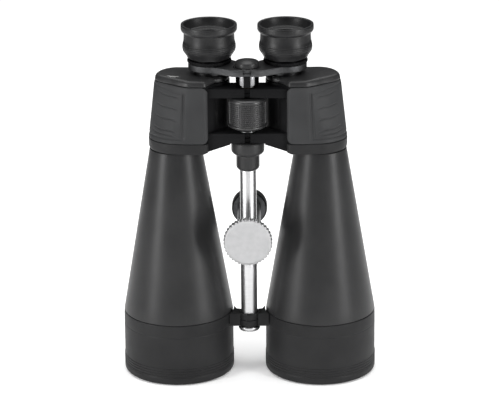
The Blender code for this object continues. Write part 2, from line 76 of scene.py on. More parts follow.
def fed(tree, node, inputs):
    """Give a node its inputs. Each is a plain value or another node's socket."""
    for name, value in inputs.items():
        if isinstance(value, bpy.types.NodeSocket):
            tree.links.new(value, node.inputs[name])
        else:
            node.inputs[name].default_value = value
    return node


def wired(tree, kind, inputs, **settings):
    """A new node with these settings and inputs."""
    node = tree.nodes.new(kind)
    for name, value in settings.items():
        setattr(node, name, value)
    return fed(tree, node, inputs)


def put(name, data):
    """A new object in the scene."""
    made = bpy.data.objects.new(name, data)
    bpy.context.scene.collection.objects.link(made)
    return made


def arc(centre, radius, start, end, count):
    """Points on an arc from start to end, in degrees."""
    points = []
    for i in range(count + 1):
        turn = math.radians(start + (end - start) * i / count)
        points.append((centre[0] + radius * math.cos(turn), centre[1] + radius * math.sin(turn)))
    return points


floor_mesh = bpy.data.meshes.new("studio_floor")
rim = [(x, y, 0.0) for x, y in arc((0.0, 0.0), FLOOR_RADIUS, 0, 360, FLOOR_SIDES)[:-1]]
floor_mesh.from_pydata(rim, [], [tuple(range(FLOOR_SIDES))])
studio_floor = put("studio_floor", floor_mesh)
paper = bpy.data.materials.new("white_paper")
paper.use_nodes = True
fed(paper.node_tree, paper.node_tree.nodes["Principled BSDF"],
    {"Base Color": PAPER_WHITE, "Roughness": 0.9, "Specular IOR Level": 0.1,
     "Emission Color": (1.0, 1.0, 1.0, 1.0), "Emission Strength": PAPER_GLOW})
floor_mesh.materials.append(paper)


def soft_box(name, place, aim, size, power):
    """A rectangular lamp at place that faces aim."""
    lamp = bpy.data.lights.new(name, "AREA")
    lamp.shape = "RECTANGLE"
    lamp.size, lamp.size_y = size
    lamp.energy = power
    held = put(name, lamp)
    held.location = place
    held.rotation_euler = (Vector(place) - aim).to_track_quat("Z", "Y").to_euler()


for tag, side in HALVES:
    place = (side * BOX_DISTANCE * math.sin(BOX_TURN), -BOX_DISTANCE * math.cos(BOX_TURN),
             BOX_HEIGHT)
    soft_box("soft_box_" + tag, place, VIEW_TARGET, BOX_SIZE, BOX_POWER)
soft_box("ceiling", CEILING_PLACE, Vector((0.0, 0.0, 0.0)), (CEILING_SIZE, CEILING_SIZE),
         CEILING_POWER)

studio = bpy.data.worlds.new("studio")
bpy.context.scene.world = studio
studio.use_nodes = True
room = studio.node_tree
room.nodes.clear()
seen_directly = room.nodes.new("ShaderNodeLightPath").outputs["Is Camera Ray"]
white_wall = wired(room, "ShaderNodeBackground", {"Color": (1.0, 1.0, 1.0, 1.0),
                                                  "Strength": WALL_LIGHT})
dark_room = wired(room, "ShaderNodeBackground", {"Color": ROOM_TINT, "Strength": ROOM_LIGHT})
room_or_wall = wired(room, "ShaderNodeMixShader", {0: seen_directly, 1: dark_room.outputs[0],
                                                   2: white_wall.outputs[0]})
wired(room, "ShaderNodeOutputWorld", {"Surface": room_or_wall.outputs[0]})

back = Vector((math.sin(VIEW_TURN) * math.cos(VIEW_RISE),
               -math.cos(VIEW_TURN) * math.cos(VIEW_RISE),
               math.sin(VIEW_RISE)))
right = Vector((math.cos(VIEW_TURN), math.sin(VIEW_TURN), 0.0))
up = back.cross(right)
look = Matrix((right, up, back)).transposed().to_4x4()
camera_data = bpy.data.cameras.new("camera")
camera_data.lens = VIEW_LENS
camera_data.sensor_width = 36.0
camera_data.shift_x, camera_data.shift_y = VIEW_SHIFT
camera = put("camera", camera_data)
camera.matrix_world = (Matrix.Translation(VIEW_TARGET + back * VIEW_DISTANCE) @ look
                       @ Matrix.Rotation(-VIEW_ROLL, 4, "Z"))
bpy.context.scene.camera = camera
bpy.context.scene.view_settings.view_transform = "Standard"


# ---------------------------------------------------------------- objective rings
# The cell at the front of each barrel is turned from aluminium tube and sprayed matte black.
# Fine grip ridges are cut low down round the lip, and it screws over the barrel's stub.

MM = 0.001
RING_LIP = 0.7 * MM                 # how far the lip below the ridges stands out
RING_RIDGES = 4
RIDGE_PITCH = 2.3 * MM
RIDGE_SIZE = 0.38 * MM
RIDGE_BASE = 7.6 * MM
RING_STEP_DOWN = 11.0 * MM          # from the top of the ring down to the shallow step
RING_WALL = 4.4 * MM
BAFFLE_GROOVES = 6                  # fine turned grooves inside the mouth
BAFFLE_PITCH = 1.6 * MM
RUBBED_GREY = (0.20, 0.20, 0.20)    # paint worn thin by handling


def spot(node):
    """Middle x and y, low z, high z and radius of a turned CAD node."""
    low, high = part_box(node)
    return (low[0] + high[0]) / 2, (low[1] + high[1]) / 2, low[2], high[2], (high[0] - low[0]) / 2


def filleted(points, closed):
    """Swap each (r, z, cut) corner for a short curve that starts and ends cut from the corner."""
    drawn = []
    for i, point in enumerate(points):
        corner = Vector(point[:2])
        cut_back = point[2] if len(point) > 2 else 0.0
        if cut_back <= 0.0 or (not closed and i in (0, len(points) - 1)):
            drawn.append((corner.x, corner.y))
            continue
        before = Vector(points[i - 1][:2]) - corner
        after = Vector(points[(i + 1) % len(points)][:2]) - corner
        start = corner + before.normalized() * min(cut_back, before.length * 0.48)
        end = corner + after.normalized() * min(cut_back, after.length * 0.48)
        for step in range(6):
            t = step / 5
            on_curve = start * (1 - t) ** 2 + corner * 2 * t * (1 - t) + end * t ** 2
            drawn.append((on_curve.x, on_curve.y))
    return drawn


def piece(name, work, finish, sharp=32):
    """Close a bmesh into a named, smooth-shaded piece with its finish."""
    bmesh.ops.remove_doubles(work, verts=work.verts, dist=0.000002)
    bmesh.ops.recalc_face_normals(work, faces=work.faces)
    mesh = bpy.data.meshes.new(name)
    work.to_mesh(mesh)
    work.free()
    for face in mesh.polygons:
        face.use_smooth = True
    mesh.set_sharp_from_angle(angle=math.radians(sharp))
    mesh.materials.append(finish)
    return put(name, mesh)


def turn_into(work, profile, x=0.0, y=0.0, steps=144, place=None):
    """Turn (radius, z, fillet) points about a vertical line into the bmesh as one closed shell.
    A profile that starts and ends on the line is solid, any other is a ring."""
    solid = profile[0][0] < 0.00001
    drawn = filleted(profile, not solid)
    rows = []
    for radius, z in drawn:
        if radius < 0.00001:
            rows.append([work.verts.new((x, y, z))] * steps)
            continue
        rows.append([work.verts.new((*at, z)) for at in arc((x, y), radius, 0, 360, steps)[:-1]])
    if place is not None:
        for vertex in {corner for row in rows for corner in row}:
            vertex.co = place @ vertex.co
    pairs = list(zip(rows, rows[1:]))
    if not solid:
        pairs.append((rows[-1], rows[0]))
    for upper, lower in pairs:
        for step in range(steps):
            after = (step + 1) % steps
            corners = []
            for vertex in (upper[step], upper[after], lower[after], lower[step]):
                if vertex not in corners:
                    corners.append(vertex)
            if len(corners) > 2:
                work.faces.new(corners)


def turned(name, profile, finish, x=0.0, y=0.0, steps=144, place=None):
    work = bmesh.new()
    turn_into(work, profile, x, y, steps, place)
    return piece(name, work, finish)


def shader(name):
    """A new material: its tree, its shader and the object coordinates every pattern reads."""
    made = bpy.data.materials.new(name)
    made.use_nodes = True
    tree = made.node_tree
    coordinates = tree.nodes.new("ShaderNodeTexCoord")
    return made, tree, tree.nodes["Principled BSDF"], coordinates.outputs["Object"]


def grain(tree, coordinates, scale, detail=3.0, stretch=(1.0, 1.0, 1.0)):
    """Noise of that many cells to the metre, drawn out along an axis by a small stretch."""
    mapping = wired(tree, "ShaderNodeMapping", {"Vector": coordinates, "Scale": stretch})
    return wired(tree, "ShaderNodeTexNoise", {"Vector": mapping.outputs["Vector"], "Scale": scale,
                                              "Detail": detail}).outputs["Fac"]


def ranged(tree, value, low, high, to_low=0.0, to_high=1.0):
    """Map a pattern from low..high to to_low..to_high."""
    return wired(tree, "ShaderNodeMapRange", {"Value": value, "From Min": low, "From Max": high,
                                              "To Min": to_low,
                                              "To Max": to_high}).outputs["Result"]


def mixed(tree, amount, first, second):
    """A colour between first and second. Either is a colour or another mix."""
    first, second = ((*c, 1.0) if isinstance(c, tuple) else c for c in (first, second))
    return wired(tree, "ShaderNodeMix", {0: amount, 6: first, 7: second},
                 data_type="RGBA").outputs[2]


def bumped(tree, bsdf, heights):
    """Chain (pattern, strength, depth) bumps into the shader's normal."""
    below = {}
    for pattern, strength, depth in heights:
        bump = wired(tree, "ShaderNodeBump", {"Height": pattern, "Strength": strength,
                                              "Distance": depth,
                                              **below})
        below = {"Normal": bump.outputs["Normal"]}
    fed(tree, bsdf, below)


def sprayed_paint(name, dark, light, smooth, rough, orange_peel, sheen=0.4):
    """Black paint on metal: fine spatter, a slow drift in tone and gloss, and a few bright specks
    of wear."""
    made, tree, bsdf, coordinates = shader(name)
    drift = grain(tree, coordinates, 26.0, 4.0)
    spatter = grain(tree, coordinates, 2100.0, 2.0)
    handling = grain(tree, coordinates, 70.0, 9.0, (1.0, 1.0, 0.35))
    gloss = grain(tree, coordinates, 95.0, 6.0)
    tone = mixed(tree, ranged(tree, drift, 0.35, 0.65), dark, light)
    worn = mixed(tree, ranged(tree, handling, 0.70, 0.80, 0.0, 0.06), tone, RUBBED_GREY)
    fed(tree, bsdf, {"Base Color": worn, "Roughness": ranged(tree, gloss, 0.3, 0.7, smooth, rough),
                     "Specular IOR Level": sheen})
    bumped(tree, bsdf, [(spatter, orange_peel, 0.12 * MM), (drift, 0.05, 0.6 * MM)])
    return made


matte_black = sprayed_paint("matte_black_spray", (0.0150, 0.0150, 0.0155), (0.0205, 0.0205, 0.0210),
                            0.44, 0.52, 0.35, 0.12)


def tree_for(name, sizes):
    """A geometry node tree with a geometry way in and out, a finish, and named size inputs."""
    tree = bpy.data.node_groups.new(name, "GeometryNodeTree")
    tree.interface.new_socket(name="Geometry", in_out="OUTPUT", socket_type="NodeSocketGeometry")
    for size, kind in {"Geometry": "Geometry", "Finish": "Material", **sizes}.items():
        tree.interface.new_socket(name=size, in_out="INPUT", socket_type="NodeSocket" + kind)
    return tree, tree.nodes.new("NodeGroupInput").outputs


def calculated(tree, operation, *operands):
    """A math node. Each operand is a number or a socket."""
    return wired(tree, "ShaderNodeMath", dict(enumerate(operands)), operation=operation).outputs[0]


def beside(tree, given, points, shape, **more):
    """The piece itself, with the shape set at every point."""
    placed = wired(tree, "GeometryNodeInstanceOnPoints",
                   {"Points": points, "Instance": shape, **more})
    both = wired(tree, "GeometryNodeJoinGeometry", {0: given["Geometry"]})
    return fed(tree, both, {0: placed.outputs[0]}).outputs[0]


def ended(tree, given, geometry):
    """Close a tree: every instance made real, in the piece's finish."""
    real = wired(tree, "GeometryNodeRealizeInstances", {0: geometry})
    painted = wired(tree, "GeometryNodeSetMaterial", {"Geometry": real.outputs[0],
                                                      "Material": given["Finish"]})
    wired(tree, "NodeGroupOutput", {"Geometry": painted.outputs[0]})
    return tree


def settled(target):
    """Keep what a piece's modifiers make of it as its plain mesh."""
    bpy.context.view_layer.update()
    evaluated = target.evaluated_get(bpy.context.evaluated_depsgraph_get())
    mesh = bpy.data.meshes.new_from_object(evaluated)
    target.modifiers.clear()
    target.data = mesh
    mesh.name = target.name


def grown(target, tree, values):
    """Run a tree on a piece with these input values, and keep the result as its plain mesh."""
    modifier = target.modifiers.new("grown", "NODES")
    modifier.node_group = tree
    for item in tree.interface.items_tree:
        if item.item_type == "SOCKET" and item.in_out == "INPUT" and item.name in values:
            modifier[item.identifier] = values[item.name]
    settled(target)


def ridge_tree():
    """Round hoops about a vertical line, one above the other, added to the piece."""
    tree, given = tree_for("ridges", {"Count": "Int", "Pitch": "Float", "Radius": "Float",
                                      "Ridge": "Float", "Start": "Vector", "Steps": "Int"})
    rise = wired(tree, "ShaderNodeCombineXYZ", {"Z": given["Pitch"]})
    stack = wired(tree, "GeometryNodeMeshLine", {"Count": given["Count"],
                                                 "Start Location": given["Start"],
                                                 "Offset": rise.outputs[0]})
    path, section = (wired(tree, "GeometryNodeCurvePrimitiveCircle",
                           {"Resolution": steps, "Radius": radius})
                     for steps, radius in ((given["Steps"], given["Radius"]), (6, given["Ridge"])))
    hoop = wired(tree, "GeometryNodeCurveToMesh", {"Curve": path.outputs[0],
                                                   "Profile Curve": section.outputs[0]})
    return ended(tree, given, beside(tree, given, stack.outputs[0], hoop.outputs[0]))


RIDGES = ridge_tree()


def objective_ring(tag):
    node = "objective_ring_" + tag
    x, y, low, high, radius = spot(node)
    body = radius - RING_LIP * 0.55
    lip_top = RIDGE_BASE - 1.6 * MM
    seat, mouth = radius - 3.1 * MM, radius - RING_WALL - 0.4 * MM
    step_z = high - RING_STEP_DOWN
    lens_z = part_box("lens_retainer_" + tag)[0][2]
    profile = [(seat, high, 0.3 * MM), (body - 0.2 * MM, high, 1.2 * MM),
               (body, step_z + 0.5 * MM, 0.3 * MM),
               (body - 0.22 * MM, step_z, 0.1 * MM), (body, step_z - 0.5 * MM, 0.3 * MM),
               (body, lip_top + 1.0 * MM, 0.5 * MM), (radius, lip_top, 0.5 * MM),
               (radius, low + 1.2 * MM, 2.0 * MM), (radius - 3.0 * MM, low, 1.0 * MM),
               (radius - RING_WALL, low, 0.6 * MM), (mouth, low + 6.0 * MM, 0.4 * MM)]
    for groove in range(BAFFLE_GROOVES):
        z = low + 7.0 * MM + groove * BAFFLE_PITCH
        profile += [(mouth, z), (mouth + 0.3 * MM, z + BAFFLE_PITCH / 2)]
    profile += [(mouth, lens_z - 0.6 * MM), (mouth, high - 16.0 * MM, 0.4 * MM),
                (seat, high - 15.0 * MM, 0.4 * MM)]
    ring = turned(node + "_cell", profile, matte_black, x, y, 192)
    grown(ring, RIDGES, {"Finish": matte_black, "Count": RING_RIDGES, "Pitch": RIDGE_PITCH,
                         "Radius": body, "Ridge": RIDGE_SIZE, "Start": (x, y, low + RIDGE_BASE),
                         "Steps": 160})
    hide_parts(node)
    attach(ring, tag + "_half")


for tag, side in HALVES:
    objective_ring(tag)


# ---------------------------------------------------------------- objective lenses
# An 80 mm cemented pair in each cell: a crown in front of a flint, with a blue-green coating. A
# threaded black retainer, stepped round its inner edge, holds them down on their shoulder.

LENS_CURVE = 3.0 * MM               # rise of the cemented face between the two glasses
FRONT_SAG = 3.4 * MM
NOTCH_DEPTH = 1.2 * MM


def coated_glass(name, tint, coating):
    """Clear glass whose coating colours what it reflects, a little unevenly."""
    made, tree, bsdf, coordinates = shader(name)
    patches = ranged(tree, grain(tree, coordinates, 22.0, 2.0), 0.3, 0.7)
    smears = grain(tree, coordinates, 140.0, 5.0)
    fed(tree, bsdf, {"Base Color": mixed(tree, patches, tint, coating),
                     "Roughness": ranged(tree, smears, 0.35, 0.75, 0.01, 0.06),
                     "Transmission Weight": 0.85, "IOR": 1.52,
                     "Specular Tint": (0.55, 0.95, 0.80, 1.0),
                     "Coat Weight": 0.6, "Coat Roughness": 0.02})
    return made


objective_glass = coated_glass("coated_objective_glass", (0.45, 0.62, 0.58), (0.30, 0.50, 0.55))


def dome(radius, rim_z, sag, count=14):
    """Profile points of a shallow cap from the axis out to the rim."""
    points = []
    for i in range(count + 1):
        part = i / count
        points.append((radius * part, rim_z + sag * (1.0 - part * part)))
    return points


def cemented_lens(tag):
    crown, flint = "objective_crown_" + tag, "objective_flint_" + tag
    x, y, low, high, radius = spot(crown)
    rim = low + FRONT_SAG
    joint = rim + LENS_CURVE
    shown = radius - 0.1 * MM
    front = turned(crown + "_glass", dome(shown, joint, LENS_CURVE) + dome(shown, rim,
                                                                           -FRONT_SAG)[::-1],
                   objective_glass, x, y)
    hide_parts(crown)
    top = spot(flint)[3]
    rear = turned(flint + "_glass", dome(shown, top, -0.6 * MM)
                  + dome(shown, joint + 0.2 * MM, LENS_CURVE)[::-1], objective_glass, x, y)
    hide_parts(flint)
    for glass in (front, rear):
        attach(glass, tag + "_half")


def retainer(tag):
    node = "lens_retainer_" + tag
    x, y, low, high, radius = spot(node)
    inner = radius - 3.0 * MM
    shown = radius - 0.2 * MM
    ring = turned(node + "_ring", [(inner, high, 0.4 * MM), (shown, high, 0.3 * MM),
                                   (shown, low, 0.3 * MM),
                                   (inner + 1.2 * MM, low, 0.3 * MM),
                                   (inner + 0.9 * MM, low + NOTCH_DEPTH, 0.3 * MM),
                                   (inner, low + NOTCH_DEPTH, 0.3 * MM)], matte_black, x, y)
    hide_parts(node)
    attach(ring, tag + "_half")


for tag, side in HALVES:
    cemented_lens(tag)
    retainer(tag)


# ---------------------------------------------------------------- objective tubes
# The long cones are spun from aluminium, turned true and sprayed satin black. A rolled shoulder at
# the small end meets the flange of the prism housing, and a stub at the wide end takes the cell.

CONE_FOOT_SHRINK = 0.45 * MM
CONE_WALL = 2.4 * MM

satin_black = sprayed_paint("satin_black_spray", (0.0190, 0.0190, 0.0195), (0.0250, 0.0250, 0.0255),
                            0.35, 0.39, 0.28, 0.20)


def objective_tube(tag):
    node = "objective_tube_" + tag
    x, y, stub_low, spigot_top, radius = spot(node)
    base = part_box("objective_ring_" + tag)[1][2] + 0.3 * MM
    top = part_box("prism_housing_" + tag)[0][2] - 0.3 * MM
    top_radius = 21.8 * MM
    stub = radius - 3.2 * MM
    base_radius = radius - CONE_FOOT_SHRINK
    spigot = 18.7 * MM
    profile = [(spigot, spigot_top, 0.3 * MM), (spigot, top, 0.2 * MM), (top_radius, top, 0.5 * MM)]
    for i in range(1, 12):
        part = i / 12
        z = top + (base - top) * part
        profile.append((top_radius + (base_radius - top_radius) * part, z))
    profile += [(base_radius, base, 0.5 * MM), (stub, base, 0.2 * MM), (stub, stub_low, 0.3 * MM),
                (stub - CONE_WALL, stub_low, 0.3 * MM),
                (base_radius - 4.6 * MM, base + 2.0 * MM, 1.0 * MM),
                (spigot - 2.2 * MM, top - 2.0 * MM, 1.0 * MM),
                (spigot - 2.2 * MM, spigot_top, 0.3 * MM)]
    cone = turned(node + "_cone", profile, satin_black, x, y, 224)
    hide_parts(node)
    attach(cone, tag + "_half")


for tag, side in HALVES:
    objective_tube(tag)


# ---------------------------------------------------------------- front bridge
# A cast arm from each cell ends in an eye round the lower end of the hinge rod, the left eye above
# the right. Both arms are matte black like the cells, with softly rounded edges.

BRIDGE_FRONT = 17.8 * MM
BRIDGE_BACK = 2.5 * MM
BRIDGE_ROOM = 0.5 * MM
ROD_CLEARANCE = 0.25 * MM


def slab_into(work, outline, low, high, soft):
    """Add a flat plate with this plan to the bmesh, its top and bottom edges rounded by soft."""
    lower = [work.verts.new((x, y, low)) for x, y in outline]
    upper = [work.verts.new((x, y, high)) for x, y in outline]
    faces = [work.faces.new(lower[::-1]), work.faces.new(upper)]
    for i in range(len(outline)):
        after = (i + 1) % len(outline)
        faces.append(work.faces.new((lower[i], lower[after], upper[after], upper[i])))
    bmesh.ops.recalc_face_normals(work, faces=faces)
    rims = set(faces[0].edges) | set(faces[1].edges)
    if soft > 0.0:
        bmesh.ops.bevel(work, geom=list(rims), offset=soft, segments=3, profile=0.6, affect="EDGES",
                        clamp_overlap=True)


def eye_into(work, side, levels, axis_y, eye_radius, bore, upper_eye, room):
    """Add an arm's half-height eye, joined to the arm's plate by a tongue."""
    low, high = levels
    middle = (low + high) / 2
    eye = (middle + 0.15 * MM, high) if upper_eye else (low, middle - 0.15 * MM)
    half = 0.62 * eye_radius
    tongue = [(0.72 * eye_radius, axis_y - half), (eye_radius + room + 3.0 * MM, axis_y - half),
              (eye_radius + room + 3.0 * MM, axis_y + half), (0.72 * eye_radius, axis_y + half)]
    slab_into(work, [(side * x, y) for x, y in tongue], eye[0] + 0.05 * MM, eye[1] - 0.05 * MM, 0.0)
    turn_into(work, [(bore, eye[1], 0.3 * MM), (eye_radius, eye[1], 0.7 * MM),
                     (eye_radius, eye[0], 0.7 * MM), (bore, eye[0], 0.3 * MM)], 0.0, axis_y, 96)


def hinged_arm(work, side, outline, levels, axis_y, eye_radius, bore, upper_eye, soft, room):
    """A plate that ends in a hollow round the other arm's eye, with its own half-height eye."""
    slab_into(work, [(side * x, y) for x, y in outline], levels[0], levels[1], soft)
    eye_into(work, side, levels, axis_y, eye_radius, bore, upper_eye, room)


def hollow_end(end_x, front, back, axis_y, clear):
    """The end of an arm's plan at the slot: straight, broken by the hollow round the eyes."""
    reach = math.degrees(math.acos(min(end_x / clear, 1.0)))
    points = [(end_x, back)]
    points += arc((0.0, axis_y), clear, reach, -reach, 24)
    points.append((end_x, front))
    return points


def bridge_arm(tag, side):
    node = "front_bridge_arm_" + tag
    low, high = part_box(node)
    _, rod_y, _, _, rod_radius = spot("centre_rod")
    cell_x, _, _, _, cell_radius = spot("objective_ring_" + tag)
    eye_radius = -low[0] if side > 0 else high[0]
    saddle = cell_radius + 0.35 * MM
    first = math.degrees(math.asin(BRIDGE_FRONT / saddle))
    last = math.degrees(math.asin(BRIDGE_BACK / saddle))
    outline = arc((side * cell_x, 0.0), saddle, 180 + first, 180 - last, 20)
    clear = eye_radius + BRIDGE_ROOM
    outline += [(11.0 * MM, rod_y + 7.0 * MM), (7.6 * MM, rod_y + 6.2 * MM)]
    outline += arc((0.0, rod_y), clear, 38, -38, 16)
    outline += [(7.6 * MM, rod_y - 6.2 * MM), (11.0 * MM, -BRIDGE_FRONT)]
    work = bmesh.new()
    hinged_arm(work, side, outline, (low[2], high[2]), rod_y, eye_radius,
               rod_radius + ROD_CLEARANCE,
               side < 0, 0.9 * MM, BRIDGE_ROOM)
    arm = piece(node + "_casting", work, matte_black)
    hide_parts(node)
    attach(arm, tag + "_half")


for tag, side in HALVES:
    bridge_arm(tag, side)


# ---------------------------------------------------------------- prism housings
# Each is a die-cast box for the two prisms, sprayed black. Its flange sits on the barrel, its
# underside climbs to the hinge, and two flat plates reach the hinge axis, eye over eye.

OUTER_RADIUS = 22.4 * MM
HOUSING_FRONT = 26.0 * MM           # flat front face, ahead of the optical axes
FRONT_INNER_X = 32.5 * MM
ARMOUR_INSET = 1.6 * MM
LEAN_FROM = 50.0 * MM
LEAN_SLOPE = 0.11
CORNER_PULL = 5.2 * MM              # the front outer corner also draws back as it rises
UNDERSIDE_FROM = 38.5 * MM          # the underside starts to climb here
PLATE_HALF_DEPTH = 10.4 * MM
PLATE_SLOT = 2.3 * MM
KNUCKLE_RADIUS = 8.6 * MM
PLATE_EYE_RADIUS = 16.0 * MM        # where the plates end inside the wall round the eyepiece
PLATE_OUTER_X = 35.0 * MM
CAVITY_INSET = 3.8 * MM
CAVITY_EYE_INSET = 2.4 * MM

RING_X = spot("objective_ring_right")[0]
EYE_X, EYE_Y = spot("eyecup_right")[:2]
FLANGE_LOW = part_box("prism_housing_right")[0][2]
FLANGE_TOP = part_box("prism_armour_right")[0][2] - 0.3 * MM
CASTING_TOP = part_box("prism_housing_right")[1][2]
HINGE_Y = spot("centre_rod")[1]
UPPER_PLATE_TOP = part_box("hinge_bush")[1][2]
CAVITY_FLOOR = FLANGE_TOP + 0.4 * MM


# The casting's paint is a darker copy of the cells' matte black: painted shade on the hinge plates, the
# web and the walls between the two housings.
shade_black_paint = sprayed_paint("shade_black_spray", (0.0060, 0.0060, 0.0065),
                              (0.0090, 0.0090, 0.0095),
                              0.46, 0.56, 0.40, 0.05)


def outer_plan(inset):
    """Plan of the right housing from the back, round the objective side and along the front."""
    corner = (FRONT_INNER_X + 4.0 * MM, 4.0 * MM - HOUSING_FRONT)
    points = arc((RING_X, 0.0), OUTER_RADIUS - inset, 90, -6, 34)
    turns = arc((RING_X, 0.0), 1.0, -6, -86, 26)
    for i, (out_x, out_y) in enumerate(turns[1:], 1):
        part = i / 26
        reach = OUTER_RADIUS * (1.0 + 0.085 * max((part - 0.45) / 0.55, 0.0) ** 1.5) - inset
        points.append((RING_X + reach * (out_x - RING_X), reach * out_y))
    knee = points[-1]
    for i in range(1, 8):
        part = i / 8
        points.append((knee[0] + (46.0 * MM - knee[0]) * part,
                       knee[1] + (inset - HOUSING_FRONT - knee[1]) * math.sin(part * math.pi / 2)))
    points += arc(corner, 4.0 * MM - inset, -90, -180, 12)
    return points


def whole_plan(inset, inner=None):
    """The outer plan closed by the arc that clears the eyepiece on the hinge side."""
    return outer_plan(inset) + arc((EYE_X, EYE_Y), 17.0 * MM - (inset if inner is None else inner),
                                   252, 90, 40)


def eased(part):
    """0 to 1 with a soft start and end."""
    held = max(min(part, 1.0), 0.0)
    return held * held * (3.0 - 2.0 * held)


def leaned(x, y, z):
    """Where a point of the right housing's upright wall lies once the wall leans in."""
    reach = max((x - LEAN_FROM) / (RING_X + OUTER_RADIUS - LEAN_FROM), 0.0)
    rise = max(z - FLANGE_TOP, 0.0)
    corner = eased((x - 42.0 * MM) / (30.0 * MM)) * eased((4.0 * MM - y) / (26.0 * MM))
    pull = corner * CORNER_PULL * rise / (CASTING_TOP - FLANGE_TOP)
    return x - LEAN_SLOPE * reach * rise - 0.8 * pull, y + pull, z


def stack_into(work, plans, side, floor=None):
    """Skin a closed shell through (plan, z) levels of the right housing, mirrored for the left."""
    rows = []
    for plan, z in plans:
        row = []
        for x, y in plan:
            height = z if floor is None else max(z, floor(x))
            px, py, pz = leaned(x, y, height)
            row.append(work.verts.new((side * px, py, pz)))
        rows.append(row)
    count = len(rows[0])
    for lower, upper in zip(rows, rows[1:]):
        for i in range(count):
            after = (i + 1) % count
            work.faces.new((lower[i], lower[after], upper[after], upper[i]))
    for row in (rows[0], rows[-1]):
        edges = [work.edges.get((row[i], row[(i + 1) % count])) for i in range(count)]
        bmesh.ops.triangle_fill(work, use_beauty=True, edges=edges)


def underside(x):
    """Height of the casting's underside, which climbs from the flange to the hinge."""
    climb = (UNDERSIDE_FROM - x) / (UNDERSIDE_FROM - 14.0 * MM)
    return FLANGE_LOW + 8.0 * MM * max(climb, 0.0)


def hinge_plate(work, side, levels, bore):
    low, high = levels
    front, rear = HINGE_Y - PLATE_HALF_DEPTH, HINGE_Y + PLATE_HALF_DEPTH
    clear = KNUCKLE_RADIUS + 0.5 * MM
    rear_turn = 180.0 - math.degrees(math.asin((rear - EYE_Y) / PLATE_EYE_RADIUS))
    outline = [(PLATE_OUTER_X, front)] + arc((EYE_X, EYE_Y), PLATE_EYE_RADIUS, 252, rear_turn, 12)
    outline += hollow_end(PLATE_SLOT, front, rear, HINGE_Y, clear)
    hinged_arm(work, side, outline, levels, HINGE_Y, KNUCKLE_RADIUS, bore, side > 0, 0.7 * MM,
               0.5 * MM)


def web_back(work, side):
    """The wedge of metal under the lower hinge plate, back to the barrel."""
    front, rear = HINGE_Y - PLATE_HALF_DEPTH + 0.1 * MM, HINGE_Y + PLATE_HALF_DEPTH - 0.1 * MM
    profile = [(38.0 * MM, FLANGE_LOW + 0.3 * MM), (38.0 * MM, FLANGE_TOP + 0.5 * MM),
               (14.4 * MM, FLANGE_TOP + 0.5 * MM), (14.4 * MM, FLANGE_TOP - 1.0 * MM)]
    ends = [[work.verts.new((side * x, y, z)) for x, z in profile] for y in (front, rear)]
    for corners in ends:
        work.faces.new(corners)
    for i in range(4):
        after = (i + 1) % 4
        work.faces.new((ends[0][i], ends[0][after], ends[1][after], ends[1][i]))


def prism_housing(tag, side):
    node = "prism_housing_" + tag
    lower_low, upper_high = FLANGE_TOP - 0.3 * MM, UPPER_PLATE_TOP
    work = bmesh.new()
    levels = [(whole_plan(2.2 * MM), FLANGE_LOW), (whole_plan(0.9 * MM), FLANGE_LOW + 0.5 * MM),
              (whole_plan(0.2 * MM), FLANGE_LOW + 1.8 * MM),
              (whole_plan(0.0), FLANGE_LOW + 3.0 * MM),
              (whole_plan(0.0), FLANGE_TOP - 0.5 * MM), (whole_plan(0.5 * MM), FLANGE_TOP),
              (whole_plan(ARMOUR_INSET, 0.2 * MM), FLANGE_TOP)]
    levels += [(whole_plan(ARMOUR_INSET, 0.2 * MM), FLANGE_TOP + (CASTING_TOP - FLANGE_TOP) * i / 6)
               for i in range(1, 7)]
    levels += [(whole_plan(CAVITY_INSET, CAVITY_EYE_INSET), CASTING_TOP - 0.01 * MM),
               (whole_plan(CAVITY_INSET, CAVITY_EYE_INSET), CAVITY_FLOOR)]
    stack_into(work, levels, side, underside)
    web_back(work, side)
    hinge_plate(work, side, (lower_low, lower_low + 8.7 * MM),
                spot("centre_rod")[4] + ROD_CLEARANCE)
    hinge_plate(work, side, (upper_high - 7.8 * MM, upper_high),
                spot("hinge_bush")[4] + ROD_CLEARANCE)
    casting = piece(node + "_casting", work, shade_black_paint, 28)
    # Only the outer flange below the armour takes the plain matte black; the rest keeps the darker
    # paint as painted shade.
    casting.data.materials.append(matte_black)
    for face in casting.data.polygons:
        outside = side * face.center.x > PLATE_OUTER_X - 6.0 * MM or face.center.y > 0.0
        if face.center.z < FLANGE_TOP and outside:
            face.material_index = 1
    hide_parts(node)
    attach(casting, tag + "_half")


for tag, side in HALVES:
    prism_housing(tag, side)


# ---------------------------------------------------------------- rubber armour
# A moulded rubber skin is glued round each housing. A groove parts the plain front from the grip
# panel at the side, which carries shallow waved ribs across it.

ARMOUR_THICK = 1.3 * MM
ARMOUR_ROWS = 108
ARMOUR_CORNER = 8.0 * MM
GROOVE_X = 54.5 * MM
GROOVE_WIDTH = 1.45 * MM
GROOVE_DEPTH = 1.25 * MM
GROOVE_ENDS = (211.5 * MM, 250.5 * MM)
RIB_HEIGHTS = (213.2 * MM, 217.0 * MM, 226.5 * MM, 236.0 * MM, 245.8 * MM)
RIB_DEPTH = 0.65 * MM
RIB_WIDTH = 0.55 * MM
RIB_SPAN = 27.0 * MM
RIB_SLANT = 0.12
RIB_WAVE = 0.45 * MM


def moulded(name, dark, light, smooth, rough, sheen=0.26):
    """Moulded rubber or plastic: a fine leathery pebble, dusty in places, dull all over."""
    made, tree, bsdf, coordinates = shader(name)
    dust = ranged(tree, grain(tree, coordinates, 45.0, 6.0), 0.38, 0.72)
    fed(tree, bsdf, {"Base Color": mixed(tree, dust, dark, light),
                     "Roughness": ranged(tree, grain(tree, coordinates, 180.0, 4.0), 0.3, 0.7,
                                         smooth, rough),
                     "Specular IOR Level": sheen})
    pebble = wired(tree, "ShaderNodeTexVoronoi", {"Vector": coordinates, "Scale": 2600.0})
    bumped(tree, bsdf, [(pebble.outputs["Distance"], 0.08, 0.08 * MM),
                        (grain(tree, coordinates, 3200.0, 2.0), 0.12, 0.06 * MM)])
    return made


